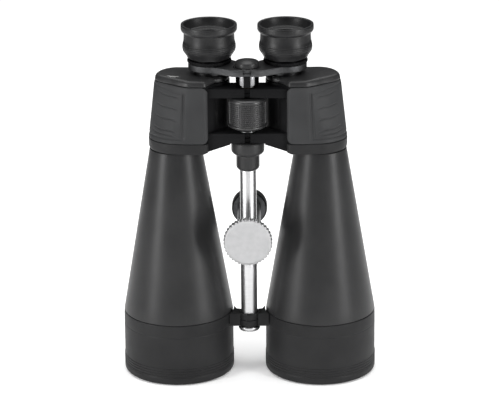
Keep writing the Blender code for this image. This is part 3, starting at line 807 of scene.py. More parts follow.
armour_rubber = moulded("armour_rubber", (0.0255, 0.0260, 0.0270), (0.0330, 0.0335, 0.0345), 0.56,
                        0.66,
                             0.20)


def bell(distance, width):
    return math.exp(-(distance / width) ** 2)


def plan_with_normals():
    """The outer plan resampled evenly: (point, outward normal, distance from the groove)."""
    raw = outer_plan(0.0)
    lengths = [0.0]
    for first, second in zip(raw, raw[1:]):
        lengths.append(lengths[-1] + math.dist(first, second))
    count = 190
    samples, k = [], 0
    for i in range(count + 1):
        want = lengths[-1] * i / count
        while k < len(raw) - 2 and lengths[k + 1] < want:
            k += 1
        part = (want - lengths[k]) / max(lengths[k + 1] - lengths[k], 0.000001)
        samples.append(Vector(raw[k]).lerp(Vector(raw[k + 1]), part))
    step = lengths[-1] / count
    at_groove = min(range(60, count), key=lambda i: abs(samples[i].x - GROOVE_X))
    drawn = []
    for i, point in enumerate(samples):
        along = samples[min(i + 1, count)] - samples[max(i - 1, 0)]
        drawn.append((point, Vector((-along.y, along.x)).normalized(), (at_groove - i) * step))
    return drawn


def relief(z, past_groove):
    """How far the moulded pattern sinks the skin: the groove, then the ribs beyond it."""
    low, high = GROOVE_ENDS
    inside = 1.0 / (1.0 + math.exp(-(z - low) / (0.5 * MM))) / (1.0 + math.exp((z - high) / (0.5 * MM)))
    depth = GROOVE_DEPTH * bell(past_groove, GROOVE_WIDTH) * inside
    for rib_z in RIB_HEIGHTS:
        across = past_groove - 4.5 * MM
        if across < 0.0 or across > RIB_SPAN:
            continue
        line = rib_z + RIB_SLANT * across + RIB_WAVE * math.sin(across * 2.2 / RIB_SPAN * math.pi)
        ends = min(across, RIB_SPAN - across, 4.0 * MM) / (4.0 * MM)
        depth += RIB_DEPTH * bell(z - line, RIB_WIDTH) * ends
        depth -= 0.10 * MM * bell(z - line - 1.2 * MM, 0.9 * MM) * ends
    if past_groove > 0.0:
        fade = min(past_groove, 3.0 * MM) / (3.0 * MM)
        depth += 0.6 * GROOVE_DEPTH * bell(z - low, 0.7 * MM) * fade
        depth += 0.35 * GROOVE_DEPTH * bell(z - high - RIB_SLANT * past_groove + 1.0 * MM,
                                            0.7 * MM) * fade
    frame_line = bell(past_groove - 2.6 * MM, 0.9 * MM) * inside
    return depth - 0.15 * MM * frame_line


def corner_cut(from_end):
    """How much the rounded corners take off the panel's height, this far from its end."""
    inwards = max(ARMOUR_CORNER - from_end, 0.0)
    return ARMOUR_CORNER - math.sqrt(ARMOUR_CORNER ** 2 - inwards ** 2)


def prism_armour(tag, side):
    node = "prism_armour_" + tag
    low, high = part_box(node)[0][2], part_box(node)[1][2]
    plan = plan_with_normals()
    work = bmesh.new()
    outside, inside = [], []
    step = abs(plan[1][2] - plan[0][2])
    for row in range(ARMOUR_ROWS + 1):
        outer_row, inner_row = [], []
        for i, (point, normal, past_groove) in enumerate(plan):
            end = min(i, len(plan) - 1 - i)
            cut = corner_cut(end * step)
            z = low + cut + (high - low - 2 * cut) * row / ARMOUR_ROWS
            edge = min(z - low, high - z) - cut
            roll = 0.55 * MM * max(1.0 - edge / (0.9 * MM), 0.0) ** 2
            sink = roll + relief(z, past_groove) + 0.6 * MM * max(1.0 - end / 2.0, 0.0)
            at = point - normal * min(sink, ARMOUR_THICK - 0.15 * MM)
            under = point - normal * (ARMOUR_THICK + 0.2 * MM)
            for row_points, spot_xy in ((outer_row, at), (inner_row, under)):
                px, py, pz = leaned(spot_xy.x, spot_xy.y, z)
                row_points.append(work.verts.new((side * px, py, pz)))
        outside.append(outer_row)
        inside.append(inner_row)
    last = len(plan) - 1
    for row in range(ARMOUR_ROWS):
        for i in range(last):
            for sheet in (outside, inside):
                work.faces.new((sheet[row][i], sheet[row][i + 1], sheet[row + 1][i + 1],
                                sheet[row + 1][i]))
        for i in (0, last):
            work.faces.new((outside[row][i], inside[row][i], inside[row + 1][i],
                            outside[row + 1][i]))
    for row in (0, ARMOUR_ROWS):
        for i in range(last):
            work.faces.new((outside[row][i], outside[row][i + 1], inside[row][i + 1],
                            inside[row][i]))
    skin = piece(node + "_skin", work, armour_rubber, 60)
    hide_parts(node)
    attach(skin, tag + "_half")


for tag, side in HALVES:
    prism_armour(tag, side)


# ---------------------------------------------------------------- prism covers
# A pressed aluminium lid closes each housing over the prisms, sprayed satin black with a rolled
# edge. The left one has a small plain printed mark, here two bars with nothing written on them.

COVER_INSET = 0.5 * MM
COVER_ROLL = 3.4 * MM
COVER_HOLE = 13.4 * MM
MARK_HALF = 5.2 * MM
MARK_WIDTH = 0.55 * MM
MARK_PLACE = (61.5 * MM, -8.2 * MM)

cover_black = sprayed_paint("cover_black_spray", (0.017, 0.017, 0.0175), (0.024, 0.024, 0.0245),
                            0.34, 0.42, 0.22, 0.25)
print_white = sprayed_paint("printed_white_ink", (0.50, 0.50, 0.49), (0.62, 0.62, 0.61), 0.5, 0.6,
                            0.1)


def drilled(target, radius, x, y, levels, sharp=32):
    """Bore a round upright hole through a finished piece."""
    work = bmesh.new()
    turn_into(work, [(0.0, levels[1]), (radius, levels[1]), (radius, levels[0]), (0.0, levels[0])],
              x, y, 96)
    drill = piece("drill", work, target.data.materials[0])
    bore = target.modifiers.new("bore", "BOOLEAN")
    bore.operation, bore.solver, bore.object = "DIFFERENCE", "EXACT", drill
    settled(target)
    target.data.set_sharp_from_angle(angle=math.radians(sharp))
    bpy.data.objects.remove(drill, do_unlink=True)


def prism_cover(tag, side):
    node = "prism_cover_" + tag
    low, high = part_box(node)[0][2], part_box(node)[1][2]
    work = bmesh.new()
    levels = [(whole_plan(COVER_INSET + 0.5 * MM), low), (whole_plan(COVER_INSET), low + 0.5 * MM)]
    for i in range(7):
        turn = math.radians(90 * i / 6)
        inset = COVER_INSET + COVER_ROLL * (1.0 - math.cos(turn))
        levels.append((whole_plan(inset), high - 0.25 * MM - COVER_ROLL * (1.0 - math.sin(turn))))
    stack_into(work, levels, side)
    cover = piece(node + "_lid", work, cover_black, 40)
    drilled(cover, COVER_HOLE, side * EYE_X, EYE_Y, (low - MM, high + MM), 40)
    pieces = [cover]
    if side < 0:
        mark = bmesh.new()
        for offset, reach in ((0.0, 1.0), (1.8 * MM, 0.55)):
            middle = Vector((side * MARK_PLACE[0], MARK_PLACE[1] - offset))
            along = Vector((0.97, -0.24)) * MARK_HALF * reach
            across = Vector((0.24, 0.97)) * MARK_WIDTH / 2
            corners = [middle - along - across, middle + along - across, middle + along + across,
                       middle - along + across]
            slab_into(mark, [tuple(corner) for corner in corners], high - 0.35 * MM,
                      high - 0.22 * MM, 0.0)
        pieces.append(piece(node + "_mark", mark, print_white))
    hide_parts(node)
    for part in pieces:
        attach(part, tag + "_half")


for tag, side in HALVES:
    prism_cover(tag, side)


# ---------------------------------------------------------------- prisms
# Two crossed glass prisms lie on a pressed shelf inside each housing. They stay as the frame has
# them, closed in by the casting, and only take their glass and paint here.

prism_glass = coated_glass("prism_glass", (0.80, 0.88, 0.84), (0.70, 0.80, 0.80))

def refinished(node, finish):
    """Give a solid that the frame keeps its finish."""
    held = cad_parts[node]
    held.data.materials.clear()
    held.data.materials.append(finish)


for tag, side in HALVES:
    refinished("prism_upper_" + tag, prism_glass)
    refinished("prism_lower_" + tag, prism_glass)
    refinished("prism_shelf_" + tag, matte_black)


# ---------------------------------------------------------------- hinge
# A ground and polished aluminium rod carries the hinge and the sliding tripod post. Above it sits
# a painted barrel, and a bright cap closes its lower end. A brass bush lines the upper eyes.

ROD_SOFT = 0.5 * MM
CAP_ROUND = 1.0 * MM
BARREL_NECK = 9.75 * MM


def bright_metal(name, dark, light, smooth, rough, lay):
    """Bare metal with the fine lay of its turning or grinding, and a few dull fingermarks."""
    made, tree, bsdf, coordinates = shader(name)
    lines = grain(tree, coordinates, 240.0, 3.0, lay)
    marks = grain(tree, coordinates, 55.0, 5.0)
    fed(tree, bsdf, {"Metallic": 1.0, "Base Color": mixed(tree, ranged(tree, lines, 0.3, 0.7), dark,
                                                          light),
                     "Roughness": ranged(tree, marks, 0.35, 0.75, smooth, rough)})
    bumped(tree, bsdf, [(lines, 0.10, 0.03 * MM)])
    return made


rod_metal = bright_metal("ground_aluminium", (0.54, 0.54, 0.545), (0.63, 0.63, 0.635), 0.30, 0.36,
                         (0.6, 0.6, 12.0))
brass_metal = bright_metal("turned_brass", (0.62, 0.46, 0.20), (0.74, 0.58, 0.28), 0.28, 0.40,
                           (0.6, 0.6, 9.0))


def hinge():
    x, y, low, high, radius = spot("centre_rod")
    rod = turned("hinge_rod", [(0.0, high), (radius, high, ROD_SOFT), (radius, low, ROD_SOFT),
                               (0.0, low)],
                 rod_metal, x, y, 128)
    _, _, cap_low, cap_high, cap_radius = spot("rod_end_cap")
    cap = turned("rod_cap", [(0.0, cap_high), (cap_radius, cap_high, 0.4 * MM),
                             (cap_radius, cap_low + 1.6 * MM, 0.6 * MM),
                             (cap_radius - CAP_ROUND, cap_low, 0.5 * MM),
                             (4.2 * MM, cap_low, 0.2 * MM),
                             (4.0 * MM, cap_low + 1.1 * MM, 0.2 * MM), (0.0, cap_low + 1.1 * MM)],
                 rod_metal, x, y, 128)
    _, _, wide_low, wide_high, wide = spot("hinge_barrel")
    step = wide_low + 13.7 * MM
    bore = radius + ROD_CLEARANCE
    barrel = turned("hinge_barrel_turned",
                    [(bore, wide_high, 0.3 * MM), (wide - 0.6 * MM, wide_high, 0.5 * MM),
                     (wide, wide_high - 0.9 * MM, 0.5 * MM), (wide, step + 2.2 * MM, 1.6 * MM),
                     (wide - 2.2 * MM, step, 1.0 * MM), (BARREL_NECK, step, 0.5 * MM),
                     (BARREL_NECK, wide_low + 2.0 * MM, 1.4 * MM),
                     (BARREL_NECK - 1.8 * MM, wide_low, 0.6 * MM),
                     (bore, wide_low, 0.3 * MM)], satin_black, x, y, 144)
    _, _, bush_low, bush_high, bush_radius = spot("hinge_bush")
    inner = spot("focus_screw")[4] + ROD_CLEARANCE
    bush = turned("hinge_bush_turned", [(inner, bush_high, 0.3 * MM),
                                        (bush_radius, bush_high, 0.4 * MM),
                                        (bush_radius, bush_low, 0.4 * MM),
                                        (inner, bush_low, 0.3 * MM)],
                  brass_metal, x, y, 96)
    for made, node, slot in ((rod, "centre_rod", "bare_aluminium"),
                             (cap, "rod_end_cap", "bare_aluminium"),
                             (barrel, "hinge_barrel", "satin_black_paint"),
                             (bush, "hinge_bush", "brass")):
        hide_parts(node)
        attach(made, "left_half")


hinge()


# ---------------------------------------------------------------- focus wheel
# A rubber tyre moulded with rows of small pyramids grips a turned drum. It runs on the focusing
# screw between the hinge plates, and its two rims are chamfered smooth.

KNURL_PITCH = 1.72 * MM
KNURL_HEIGHT = 0.75 * MM
RIM_CHAMFER = 2.8 * MM
PYRAMID_TOP = 0.16                  # corner radius of each pyramid, as a part of the pitch
PYRAMID_FOOT = 0.58

wheel_rubber = moulded("wheel_rubber", (0.0200, 0.0200, 0.0205), (0.0290, 0.0290, 0.0295), 0.28,
                       0.36, 0.5)


def knurl_tree():
    """Rows of four-sided pyramids round a drum, each straight above the last."""
    tree, given = tree_for("knurl", {"Columns": "Int", "Rows": "Int", "Radius": "Float",
                                     "Base": "Float",
                                     "Pitch": "Float", "Height": "Float", "Centre Y": "Float"})
    number = tree.nodes.new("GeometryNodeInputIndex").outputs[0]
    row = calculated(tree, "FLOOR", calculated(tree, "DIVIDE", number, given["Columns"]))
    column = calculated(tree, "MODULO", number, given["Columns"])
    turn = calculated(tree, "DIVIDE", calculated(tree, "MULTIPLY", column, 2 * math.pi),
                      given["Columns"])
    out_x, out_y = (calculated(tree, wave, turn) for wave in ("COSINE", "SINE"))
    place = wired(tree, "ShaderNodeCombineXYZ",
                  {"X": calculated(tree, "MULTIPLY", out_x, given["Radius"]),
                   "Y": calculated(tree, "MULTIPLY_ADD", out_y, given["Radius"], given["Centre Y"]),
                   "Z": calculated(tree, "MULTIPLY_ADD", row, given["Pitch"], given["Base"])})
    outward = wired(tree, "ShaderNodeCombineXYZ", {"X": out_x, "Y": out_y})
    aimed = wired(tree, "FunctionNodeAlignRotationToVector", {"Vector": outward.outputs[0]},
                  axis="Z")
    count = calculated(tree, "MULTIPLY", given["Columns"], given["Rows"])
    points = wired(tree, "GeometryNodePoints", {"Count": count, "Position": place.outputs[0]})
    pyramid = wired(tree, "GeometryNodeMeshCone",
                    {"Vertices": 4, "Depth": given["Height"],
                     "Radius Top": calculated(tree, "MULTIPLY", given["Pitch"], PYRAMID_TOP),
                     "Radius Bottom": calculated(tree, "MULTIPLY", given["Pitch"], PYRAMID_FOOT)})
    return ended(tree, given, beside(tree, given, points.outputs[0], pyramid.outputs["Mesh"],
                                     Rotation=aimed.outputs[0]))


def focus_wheel():
    x, y, low, high, radius = spot("focus_wheel")
    drum = radius - KNURL_HEIGHT - 0.15 * MM
    bore = spot("focus_screw")[4] + ROD_CLEARANCE
    wheel = turned("focus_wheel_tyre",
                   [(bore, high - 1.0 * MM, 0.2 * MM), (8.4 * MM, high - 1.0 * MM, 0.2 * MM),
                    (8.8 * MM, high, 0.3 * MM), (14.4 * MM, high, 0.9 * MM),
                    (radius, high - 1.6 * MM, 0.8 * MM), (radius, high - RIM_CHAMFER, 0.3 * MM),
                    (drum, high - RIM_CHAMFER - 0.5 * MM), (drum, low + RIM_CHAMFER + 0.5 * MM),
                    (radius, low + RIM_CHAMFER, 0.3 * MM), (radius, low + 1.6 * MM, 0.8 * MM),
                    (14.4 * MM, low, 0.9 * MM), (8.8 * MM, low, 0.3 * MM),
                    (8.4 * MM, low + 1.0 * MM, 0.2 * MM),
                    (bore, low + 1.0 * MM, 0.2 * MM)], wheel_rubber, x, y, 160)
    columns = round(2 * math.pi * radius / KNURL_PITCH)
    rows = int((high - low - 2 * RIM_CHAMFER - 0.6 * MM) / KNURL_PITCH)
    start = (low + high) / 2 - (rows - 1) / 2 * KNURL_PITCH
    grown(wheel, knurl_tree(), {"Finish": wheel_rubber, "Columns": columns, "Rows": rows,
                                "Radius": drum - 0.05 * MM,
                                "Base": start, "Pitch": KNURL_PITCH, "Height": KNURL_HEIGHT,
                                "Centre Y": y})
    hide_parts("focus_wheel")
    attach(wheel, "focus_wheel")


focus_wheel()


# ---------------------------------------------------------------- focusing screw and sleeve
# The steel screw runs up through the wheel into a chromed sleeve, which lifts both eyepieces. A
# domed black plastic cap covers the sleeve where the two arms cross it.

THREAD_PITCH = 1.0 * MM
THREAD_DEPTH = 0.35 * MM
SLEEVE_LIP = 0.6 * MM
CAP_LOWERED = 0.9 * MM
CAP_CROWN = 1.3 * MM
PAINTED_BAND_TURN = 17.0                  # degrees each side of the front

# The chrome is made far darker than bright chrome: painted shade for the sleeve, which sits in the
# shadow of the arms.
chrome = bright_metal("polished_chrome", (0.17, 0.17, 0.175), (0.22, 0.22, 0.225), 0.10, 0.16,
                      (0.8, 0.8, 3.0))


screw_steel = bright_metal("oiled_screw_steel", (0.055, 0.055, 0.058), (0.080, 0.080, 0.083), 0.30,
                           0.40,
                           (0.8, 0.8, 3.0))


def threaded(low, high, radius):
    """Profile of a solid screw with its thread cut between two plain ends."""
    profile = [(0.0, high), (radius - 0.5 * MM, high)]
    for i in range(int((high - low - 1.0 * MM) / THREAD_PITCH)):
        z = high - 0.5 * MM - i * THREAD_PITCH
        profile += [(radius, z), (radius - THREAD_DEPTH, z - THREAD_PITCH / 2)]
    return profile + [(radius - 0.5 * MM, low), (0.0, low)]


def focus_drive():
    x, y, low, high, radius = spot("focus_screw")
    screw = turned("focus_screw_thread", threaded(low, high, radius), screw_steel, x, y, 72)
    _, _, base, top, wide = spot("focus_sleeve")
    sleeve = turned("focus_sleeve_turned",
                    [(0.0, top), (wide, top, 0.5 * MM), (wide, base + 1.4 * MM, 0.2 * MM),
                     (wide - SLEEVE_LIP, base + 1.0 * MM, 0.2 * MM),
                     (wide - SLEEVE_LIP, base, 0.3 * MM),
                     (0.0, base)], chrome, x, y, 144)
    # A dark strip laid over the front of the sleeve in the darker shaded paint: painted reflection, the
    # dark band that runs down the middle of the chrome.
    dark_band = bmesh.new()
    slab_into(dark_band, arc((x, y), wide + 0.06 * MM, 270 - PAINTED_BAND_TURN, 270 + PAINTED_BAND_TURN, 8)
              + arc((x, y), wide - 1.0 * MM, 270 + PAINTED_BAND_TURN, 270 - PAINTED_BAND_TURN, 8),
              base + 0.2 * MM, top - 0.8 * MM, 0.0)
    band_piece = piece("focus_sleeve_painted_reflection", dark_band, shade_black_paint)
    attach(band_piece, "left_ocular")
    _, _, cap_low, cap_high, cap_radius = spot("hub_cap")
    shown = cap_high - CAP_LOWERED
    curve = dome(cap_radius - 1.6 * MM, shown - CAP_CROWN, CAP_CROWN)
    cap = turned("hub_cap_moulded", curve + [(cap_radius, shown - CAP_CROWN - 0.7 * MM, 0.9 * MM),
                                             (cap_radius, cap_low, 0.3 * MM), (0.0, cap_low)],
                 cover_black, x, y, 144)
    for made, node, slot in ((screw, "focus_screw", "chrome"), (sleeve, "focus_sleeve", "chrome"),
                             (cap, "hub_cap", "matte_black_paint")):
        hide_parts(node)
        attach(made, "left_ocular")


focus_drive()


# ---------------------------------------------------------------- ocular arms
# Each eyepiece hangs on a flat die-cast arm in satin grey metal. The arms meet over the sleeve,
# eye on eye, and are blacked on top.

ARM_RING = 17.6 * MM
ARM_FRONT = 12.4 * MM
ARM_SLOT = 3.3 * MM
ARM_EYE_X = 12.0 * MM
ARM_HOLE = 14.6 * MM

arm_metal = bright_metal("satin_grey_metal", (0.060, 0.061, 0.063), (0.085, 0.086, 0.088), 0.50,
                         0.60,
                         (1.0, 1.0, 6.0))


def ocular_arm(tag, side):
    node = "ocular_arm_" + tag
    low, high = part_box(node)
    _, hub_y, _, _, sleeve_radius = spot("focus_sleeve")
    eye_radius = -low[0] if side > 0 else high[0]
    front, rear = hub_y - ARM_FRONT, hub_y + ARM_FRONT
    outline = [(ARM_EYE_X, front)]
    outline += arc((EYE_X, EYE_Y), ARM_RING, 262, 510, 96)
    outline += hollow_end(ARM_SLOT, front, rear, hub_y, eye_radius + 0.5 * MM)
    levels = (low[2], high[2])
    flat = bmesh.new()
    slab_into(flat, [(side * x, y) for x, y in outline], levels[0], levels[1], 0.8 * MM)
    plate = piece("arm_plate", flat, arm_metal, 40)
    drilled(plate, ARM_HOLE, side * EYE_X, EYE_Y, (levels[0] - MM, levels[1] + MM))
    body = bmesh.new()
    body.from_mesh(plate.data)
    bpy.data.objects.remove(plate, do_unlink=True)
    eye_into(body, side, levels, hub_y, eye_radius, sleeve_radius + ROD_CLEARANCE, side > 0,
             0.5 * MM)
    arm = piece(node + "_casting", body, arm_metal, 40)
    arm.data.materials.append(cover_black)
    for face in arm.data.polygons:
        if face.normal.z > 0.8 and face.center.z > high[2] - 0.6 * MM:
            face.material_index = 1
    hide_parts(node)
    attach(arm, tag + "_ocular")


for tag, side in HALVES:
    ocular_arm(tag, side)


# ---------------------------------------------------------------- eyepieces
# Black anodised tubes slide in the housings and carry the eye and field lenses. The right one
# turns in a notched dioptre ring above its arm, and the left has the same ring, but fixed.

RING_NOTCHES = 36
NOTCH_SIZE = 0.45 * MM

anodised_black = bright_metal("black_anodising", (0.030, 0.030, 0.031), (0.045, 0.045, 0.046), 0.36,
                              0.46,
                              (0.7, 0.7, 8.0))
eye_glass = coated_glass("coated_eye_glass", (0.16, 0.22, 0.26), (0.10, 0.16, 0.22))


def notch_tree():
    """Small upright pegs round a ring, about the vertical line through its middle."""
    tree, given = tree_for("notches", {"Count": "Int", "Radius": "Float", "Middle": "Vector",
                                       "Size": "Float", "Length": "Float"})
    number = tree.nodes.new("GeometryNodeInputIndex").outputs[0]
    turn = calculated(tree, "DIVIDE", calculated(tree, "MULTIPLY", number, 2 * math.pi),
                      given["Count"])
    around = wired(tree, "ShaderNodeCombineXYZ",
                   {axis: calculated(tree, "MULTIPLY", calculated(tree, wave, turn),
                                     given["Radius"])
                    for axis, wave in (("X", "COSINE"), ("Y", "SINE"))})
    place = wired(tree, "ShaderNodeVectorMath", {0: around.outputs[0], 1: given["Middle"]},
                  operation="ADD")
    points = wired(tree, "GeometryNodePoints", {"Count": given["Count"],
                                                "Position": place.outputs[0]})
    peg = wired(tree, "GeometryNodeMeshCylinder", {"Vertices": 8, "Radius": given["Size"],
                                                   "Depth": given["Length"]})
    return ended(tree, given, beside(tree, given, points.outputs[0], peg.outputs["Mesh"]))


NOTCHES = notch_tree()


def eyepiece(tag, tube_body):
    node = "eyepiece_tube_" + tag
    x, y, low, high, radius = spot(node)
    arm_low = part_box("ocular_arm_" + tag)[0][2]
    barrel = 13.0 * MM
    outer = 14.2 * MM
    ring_top = spot("dioptre_ring_right")[3]
    tube = turned(node + "_barrel",
                  [(11.4 * MM, high, 0.3 * MM), (radius - 1.4 * MM, high, 0.6 * MM),
                   (radius - 1.4 * MM, ring_top + 2.0 * MM, 0.3 * MM),
                   (outer, ring_top + 2.0 * MM, 0.2 * MM),
                   (outer, arm_low, 0.3 * MM), (barrel, arm_low - 0.6 * MM, 0.2 * MM),
                   (barrel, low, 0.3 * MM),
                   (11.4 * MM, low, 0.3 * MM)], anodised_black, x, y, 128)
    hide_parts(node)
    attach(tube, tube_body)
    for lens in ("eye_lens_", "field_lens_"):
        lens_x, lens_y, lens_low, lens_high, lens_radius = spot(lens + tag)
        middle = (lens_low + lens_high) / 2
        rise = (lens_high - lens_low) / 2 - 0.7 * MM
        shown = min(lens_radius, 11.35 * MM) if lens == "field_lens_" else lens_radius
        glass = turned(lens + tag + "_glass", dome(shown, middle + 0.6 * MM, rise)
                       + dome(shown, middle - 0.6 * MM, -rise)[::-1], eye_glass, lens_x, lens_y, 96)
        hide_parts(lens + tag)
        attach(glass, tube_body)


def eyepiece_ring(node, body):
    x, y, low, high, radius = spot(node)
    shown = radius - NOTCH_SIZE * 0.6
    # The ring takes the darker shaded paint: painted shade where it sits between the eyecup and the
    # arm.
    ring = turned(node + "_turned", [(15.0 * MM, high, 0.2 * MM), (shown, high, 0.5 * MM),
                                     (shown, low, 0.4 * MM),
                                     (15.0 * MM, low, 0.2 * MM)], shade_black_paint, x, y, 144)
    grown(ring, NOTCHES, {"Finish": shade_black_paint, "Count": RING_NOTCHES, "Radius": shown,
                          "Middle": (x, y, (low + high) / 2), "Size": NOTCH_SIZE,
                          "Length": (high - low) * 0.7})
    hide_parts(node)
    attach(ring, body)


eyepiece("left", "left_ocular")
eyepiece("right", "right_eyepiece")
eyepiece_ring("dioptre_ring_right", "dioptre_ring")
eyepiece_ring("eyepiece_ring_left", "left_ocular")


# ---------------------------------------------------------------- eyecups
# Soft rubber cups push onto the eyepieces. Each has a rolled rim band, an undercut waist and a
# bulge with fine moulded lines, and tapers in again to its base.

CUP_LINES = 4
CUP_LINE_PITCH = 1.6 * MM
CUP_LINE_DEPTH = 0.22 * MM

cup_rubber = moulded("eyecup_rubber", (0.0100, 0.0100, 0.0105), (0.0160, 0.0160, 0.0165), 0.38,
                     0.48)


def eyecup(tag, body):
    node = "eyecup_" + tag
    x, y, low, high, radius = spot(node)
    profile = [(radius - 2.2 * MM, high - 0.1 * MM, 0.5 * MM), (radius - 0.2 * MM, high, 0.3 * MM),
               (radius, high - 0.9 * MM, 0.5 * MM), (radius, high - 4.6 * MM, 0.9 * MM),
               (radius - 1.1 * MM, high - 6.2 * MM, 0.7 * MM),
               (radius - 2.5 * MM, high - 7.0 * MM, 0.6 * MM),
               (radius - 2.2 * MM, high - 14.0 * MM, 1.2 * MM)]
    for i in range(CUP_LINES):
        z = high - 16.2 * MM - i * CUP_LINE_PITCH
        swell = 0.5 * MM * math.sin(math.pi * (i + 0.5) / CUP_LINES)
        profile += [(radius - 1.6 * MM + swell, z, 0.2 * MM),
                    (radius - 1.6 * MM + swell - CUP_LINE_DEPTH, z - 0.35 * MM),
                    (radius - 1.6 * MM + swell, z - 0.7 * MM, 0.2 * MM)]
    profile += [(radius - 2.3 * MM, high - 23.2 * MM, 1.0 * MM),
                (radius - 4.6 * MM, high - 26.6 * MM, 1.0 * MM),
                (radius - 4.9 * MM, low, 0.3 * MM), (15.4 * MM, low, 0.3 * MM),
                (15.4 * MM, high - 13.0 * MM, 0.5 * MM), (12.9 * MM, high - 13.2 * MM, 0.4 * MM),
                (12.9 * MM, high - 8.4 * MM, 0.6 * MM),
                (radius - 5.2 * MM, high - 7.4 * MM, 1.2 * MM),
                (radius - 3.2 * MM, high - 3.4 * MM, 1.4 * MM)]
    cup = turned(node + "_rubber", profile, cup_rubber, x, y, 176)
    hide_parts(node)
    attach(cup, body)


eyecup("left", "left_ocular")
eyecup("right", "right_eyepiece")


# ---------------------------------------------------------------- tripod adapter
# A grey post is bored across to slide on the hinge rod, lined with nylon. Its round foot at the
# back bolts to a tripod, through a brass thread insert let into the face.

FOOT_RIM = 1.1 * MM
FOOT_SOFT = 0.8 * MM
FOOT_SOCKET = 5.0 * MM
INSERT_HOLE = 3.2 * MM
INSERT_PITCH = 1.25 * MM
POST_LINER = 1.6 * MM               # room round the rod for the nylon liner

post_metal = bright_metal("dark_grey_metal", (0.115, 0.118, 0.122), (0.150, 0.153, 0.157), 0.40,
                          0.52,
                          (3.0, 1.0, 3.0))
nylon = moulded("white_nylon", (0.60, 0.60, 0.57), (0.68, 0.68, 0.65), 0.42, 0.52)


def facing_back(z):
    """Turns a shape made about a vertical line so that its top faces the back, at height z."""
    return Matrix.Translation((0.0, 0.0, z)) @ Matrix.Rotation(-math.pi / 2, 4, "X")


def lying(node):
    """Front y, back y, radius and height of a turned solid whose axis runs front to back."""
    low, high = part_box(node)
    return low[1], high[1], (high[0] - low[0]) / 2, (low[2] + high[2]) / 2


def tripod_adapter():
    near, far, post_radius, z = lying("tripod_post")
    place = facing_back(z)
    _, rod_y, _, _, rod_radius = spot("centre_rod")
    post = turned("tripod_post_turned", [(0.0, far), (post_radius, far, 0.4 * MM),
                                         (post_radius, near, 1.0 * MM), (0.0, near)],
                  post_metal, 0.0, 0.0, 96, place)
    drilled(post, rod_radius + POST_LINER, 0.0, rod_y, (z - 2 * post_radius, z + 2 * post_radius))
    near, far, foot_radius, _ = lying("tripod_foot")
    foot = turned("tripod_foot_turned",
                  [(FOOT_SOCKET, far, 0.4 * MM), (foot_radius - FOOT_RIM, far, 0.5 * MM),
                   (foot_radius, far - 1.2 * MM, FOOT_SOFT),
                   (foot_radius, near + 0.8 * MM, FOOT_SOFT),
                   (foot_radius - FOOT_RIM, near, 0.3 * MM), (FOOT_SOCKET, near, 0.2 * MM)],
                  post_metal, 0.0, 0.0, 144, place)
    foot.data.materials.append(matte_black)
    for face in foot.data.polygons:
        if math.hypot(face.center.x, face.center.z - z) > foot_radius - FOOT_RIM:
            face.material_index = 1
    near, far, insert_radius, _ = lying("thread_insert")
    profile = [(INSERT_HOLE, far, 0.2 * MM), (insert_radius, far, 0.2 * MM),
               (insert_radius, near, 0.2 * MM), (INSERT_HOLE, near, 0.1 * MM)]
    for i in range(int((far - near - 1.0 * MM) / INSERT_PITCH)):
        start = near + 0.6 * MM + i * INSERT_PITCH
        profile += [(INSERT_HOLE + 0.4 * MM, start + 0.3 * MM), (INSERT_HOLE, start + 0.9 * MM)]
    insert = turned("thread_insert_turned", profile, brass_metal, 0.0, 0.0, 72, place)
    for made, node, slot in ((post, "tripod_post", "grey_metal"), (foot, "tripod_foot", "grey_metal"),
                             (insert, "thread_insert", "brass")):
        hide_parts(node)
        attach(made, "tripod_adapter")


tripod_adapter()
refinished("slider_bush", nylon)


# ---------------------------------------------------------------- clamp
# A broad aluminium knob on a steel screw presses a nylon pad against the rod. The knob is turned,
# satin anodised, and scalloped round its edge for the fingers.

SCALLOPS = 40
SCALLOP_DEPTH = 0.9 * MM
KNOB_HUB = 7.0 * MM
KNOB_RECESS = 0.25 * MM

knob_metal = bright_metal("satin_knob_metal", (0.450, 0.450, 0.455), (0.500, 0.500, 0.505), 0.40,
                          0.48,
                          (1.0, 1.0, 1.0))


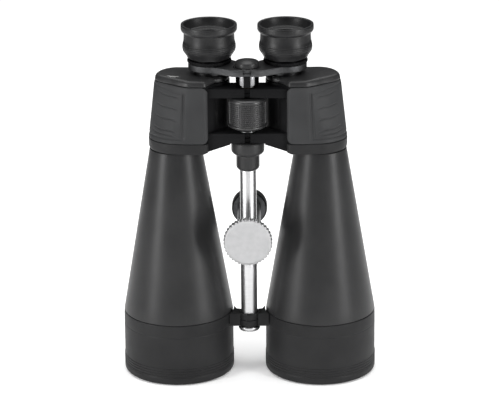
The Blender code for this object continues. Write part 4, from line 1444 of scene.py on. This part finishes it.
def scallop_tree():
    """Draws the rim of a disc in towards its axis, in even scallops. The disc faces front."""
    tree, given = tree_for("scallops", {"Count": "Int", "Inner": "Float", "Depth": "Float",
                                        "Centre Z": "Float"})
    where = tree.nodes.new("GeometryNodeInputPosition")
    split = wired(tree, "ShaderNodeSeparateXYZ", {0: where.outputs[0]})
    across = split.outputs["X"]
    up = calculated(tree, "SUBTRACT", split.outputs["Z"], given["Centre Z"])
    out = calculated(tree, "SQRT", calculated(tree, "MULTIPLY_ADD", across, across,
                                              calculated(tree, "MULTIPLY", up, up)))
    turn = calculated(tree, "ARCTAN2", up, across)
    wave = calculated(tree, "COSINE", calculated(tree, "MULTIPLY", turn, given["Count"]))
    lowered = calculated(tree, "MULTIPLY", calculated(tree, "MULTIPLY_ADD", wave, 0.5, 0.5),
                         given["Depth"])
    near_rim = calculated(tree, "GREATER_THAN", out, given["Inner"])
    factor = calculated(tree, "DIVIDE", calculated(tree, "MULTIPLY", lowered, near_rim),
                        calculated(tree, "MAXIMUM", out, MM))
    inwards = calculated(tree, "MULTIPLY", factor, -1.0)
    offset = wired(tree, "ShaderNodeCombineXYZ", {"X": calculated(tree, "MULTIPLY", across,
                                                                  inwards),
                                                  "Z": calculated(tree, "MULTIPLY", up, inwards)})
    moved = wired(tree, "GeometryNodeSetPosition", {"Geometry": given["Geometry"],
                                                    "Offset": offset.outputs[0]})
    return ended(tree, given, moved.outputs[0])


def clamp():
    near, far, radius, z = lying("clamp_knob")
    place = facing_back(z)
    knob = turned("clamp_knob_turned",
                  [(0.0, far), (KNOB_HUB, far, 0.3 * MM), (KNOB_HUB, far - 2.2 * MM, 0.4 * MM),
                   (radius - 1.4 * MM, far - 2.4 * MM, 0.5 * MM),
                   (radius, far - 3.4 * MM, 0.4 * MM),
                   (radius, near + 1.0 * MM, 0.4 * MM), (radius - 1.2 * MM, near, 0.4 * MM),
                   (radius - 2.4 * MM, near + KNOB_RECESS, 0.3 * MM), (0.0, near + KNOB_RECESS)],
                  knob_metal, 0.0, 0.0, 480, place)
    grown(knob, scallop_tree(), {"Finish": knob_metal, "Count": SCALLOPS,
                                 "Inner": radius - 0.9 * MM,
                                 "Depth": SCALLOP_DEPTH, "Centre Z": z})
    near, far, screw_radius, _ = lying("clamp_screw")
    screw = turned("clamp_screw_thread", threaded(near, far, screw_radius), post_metal, 0.0, 0.0,
                   72, place)
    near, far, pad_radius, _ = lying("clamp_pad")
    pad = turned("clamp_pad_moulded", [(0.0, far), (pad_radius, far, 0.4 * MM),
                                       (pad_radius, near, 0.4 * MM), (0.0, near)],
                 nylon, 0.0, 0.0, 64, place)
    for made, node, slot, body in ((knob, "clamp_knob", "bare_aluminium", "clamp_knob"),
                                   (screw, "clamp_screw", "grey_metal", "clamp_knob"),
                                   (pad, "clamp_pad", "nylon", "clamp_pad")):
        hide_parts(node)
        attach(made, body)


clamp()


# ---------------------------------------------------------------- update
# The scene is brought up to date after the last piece.

bpy.context.view_layer.update()
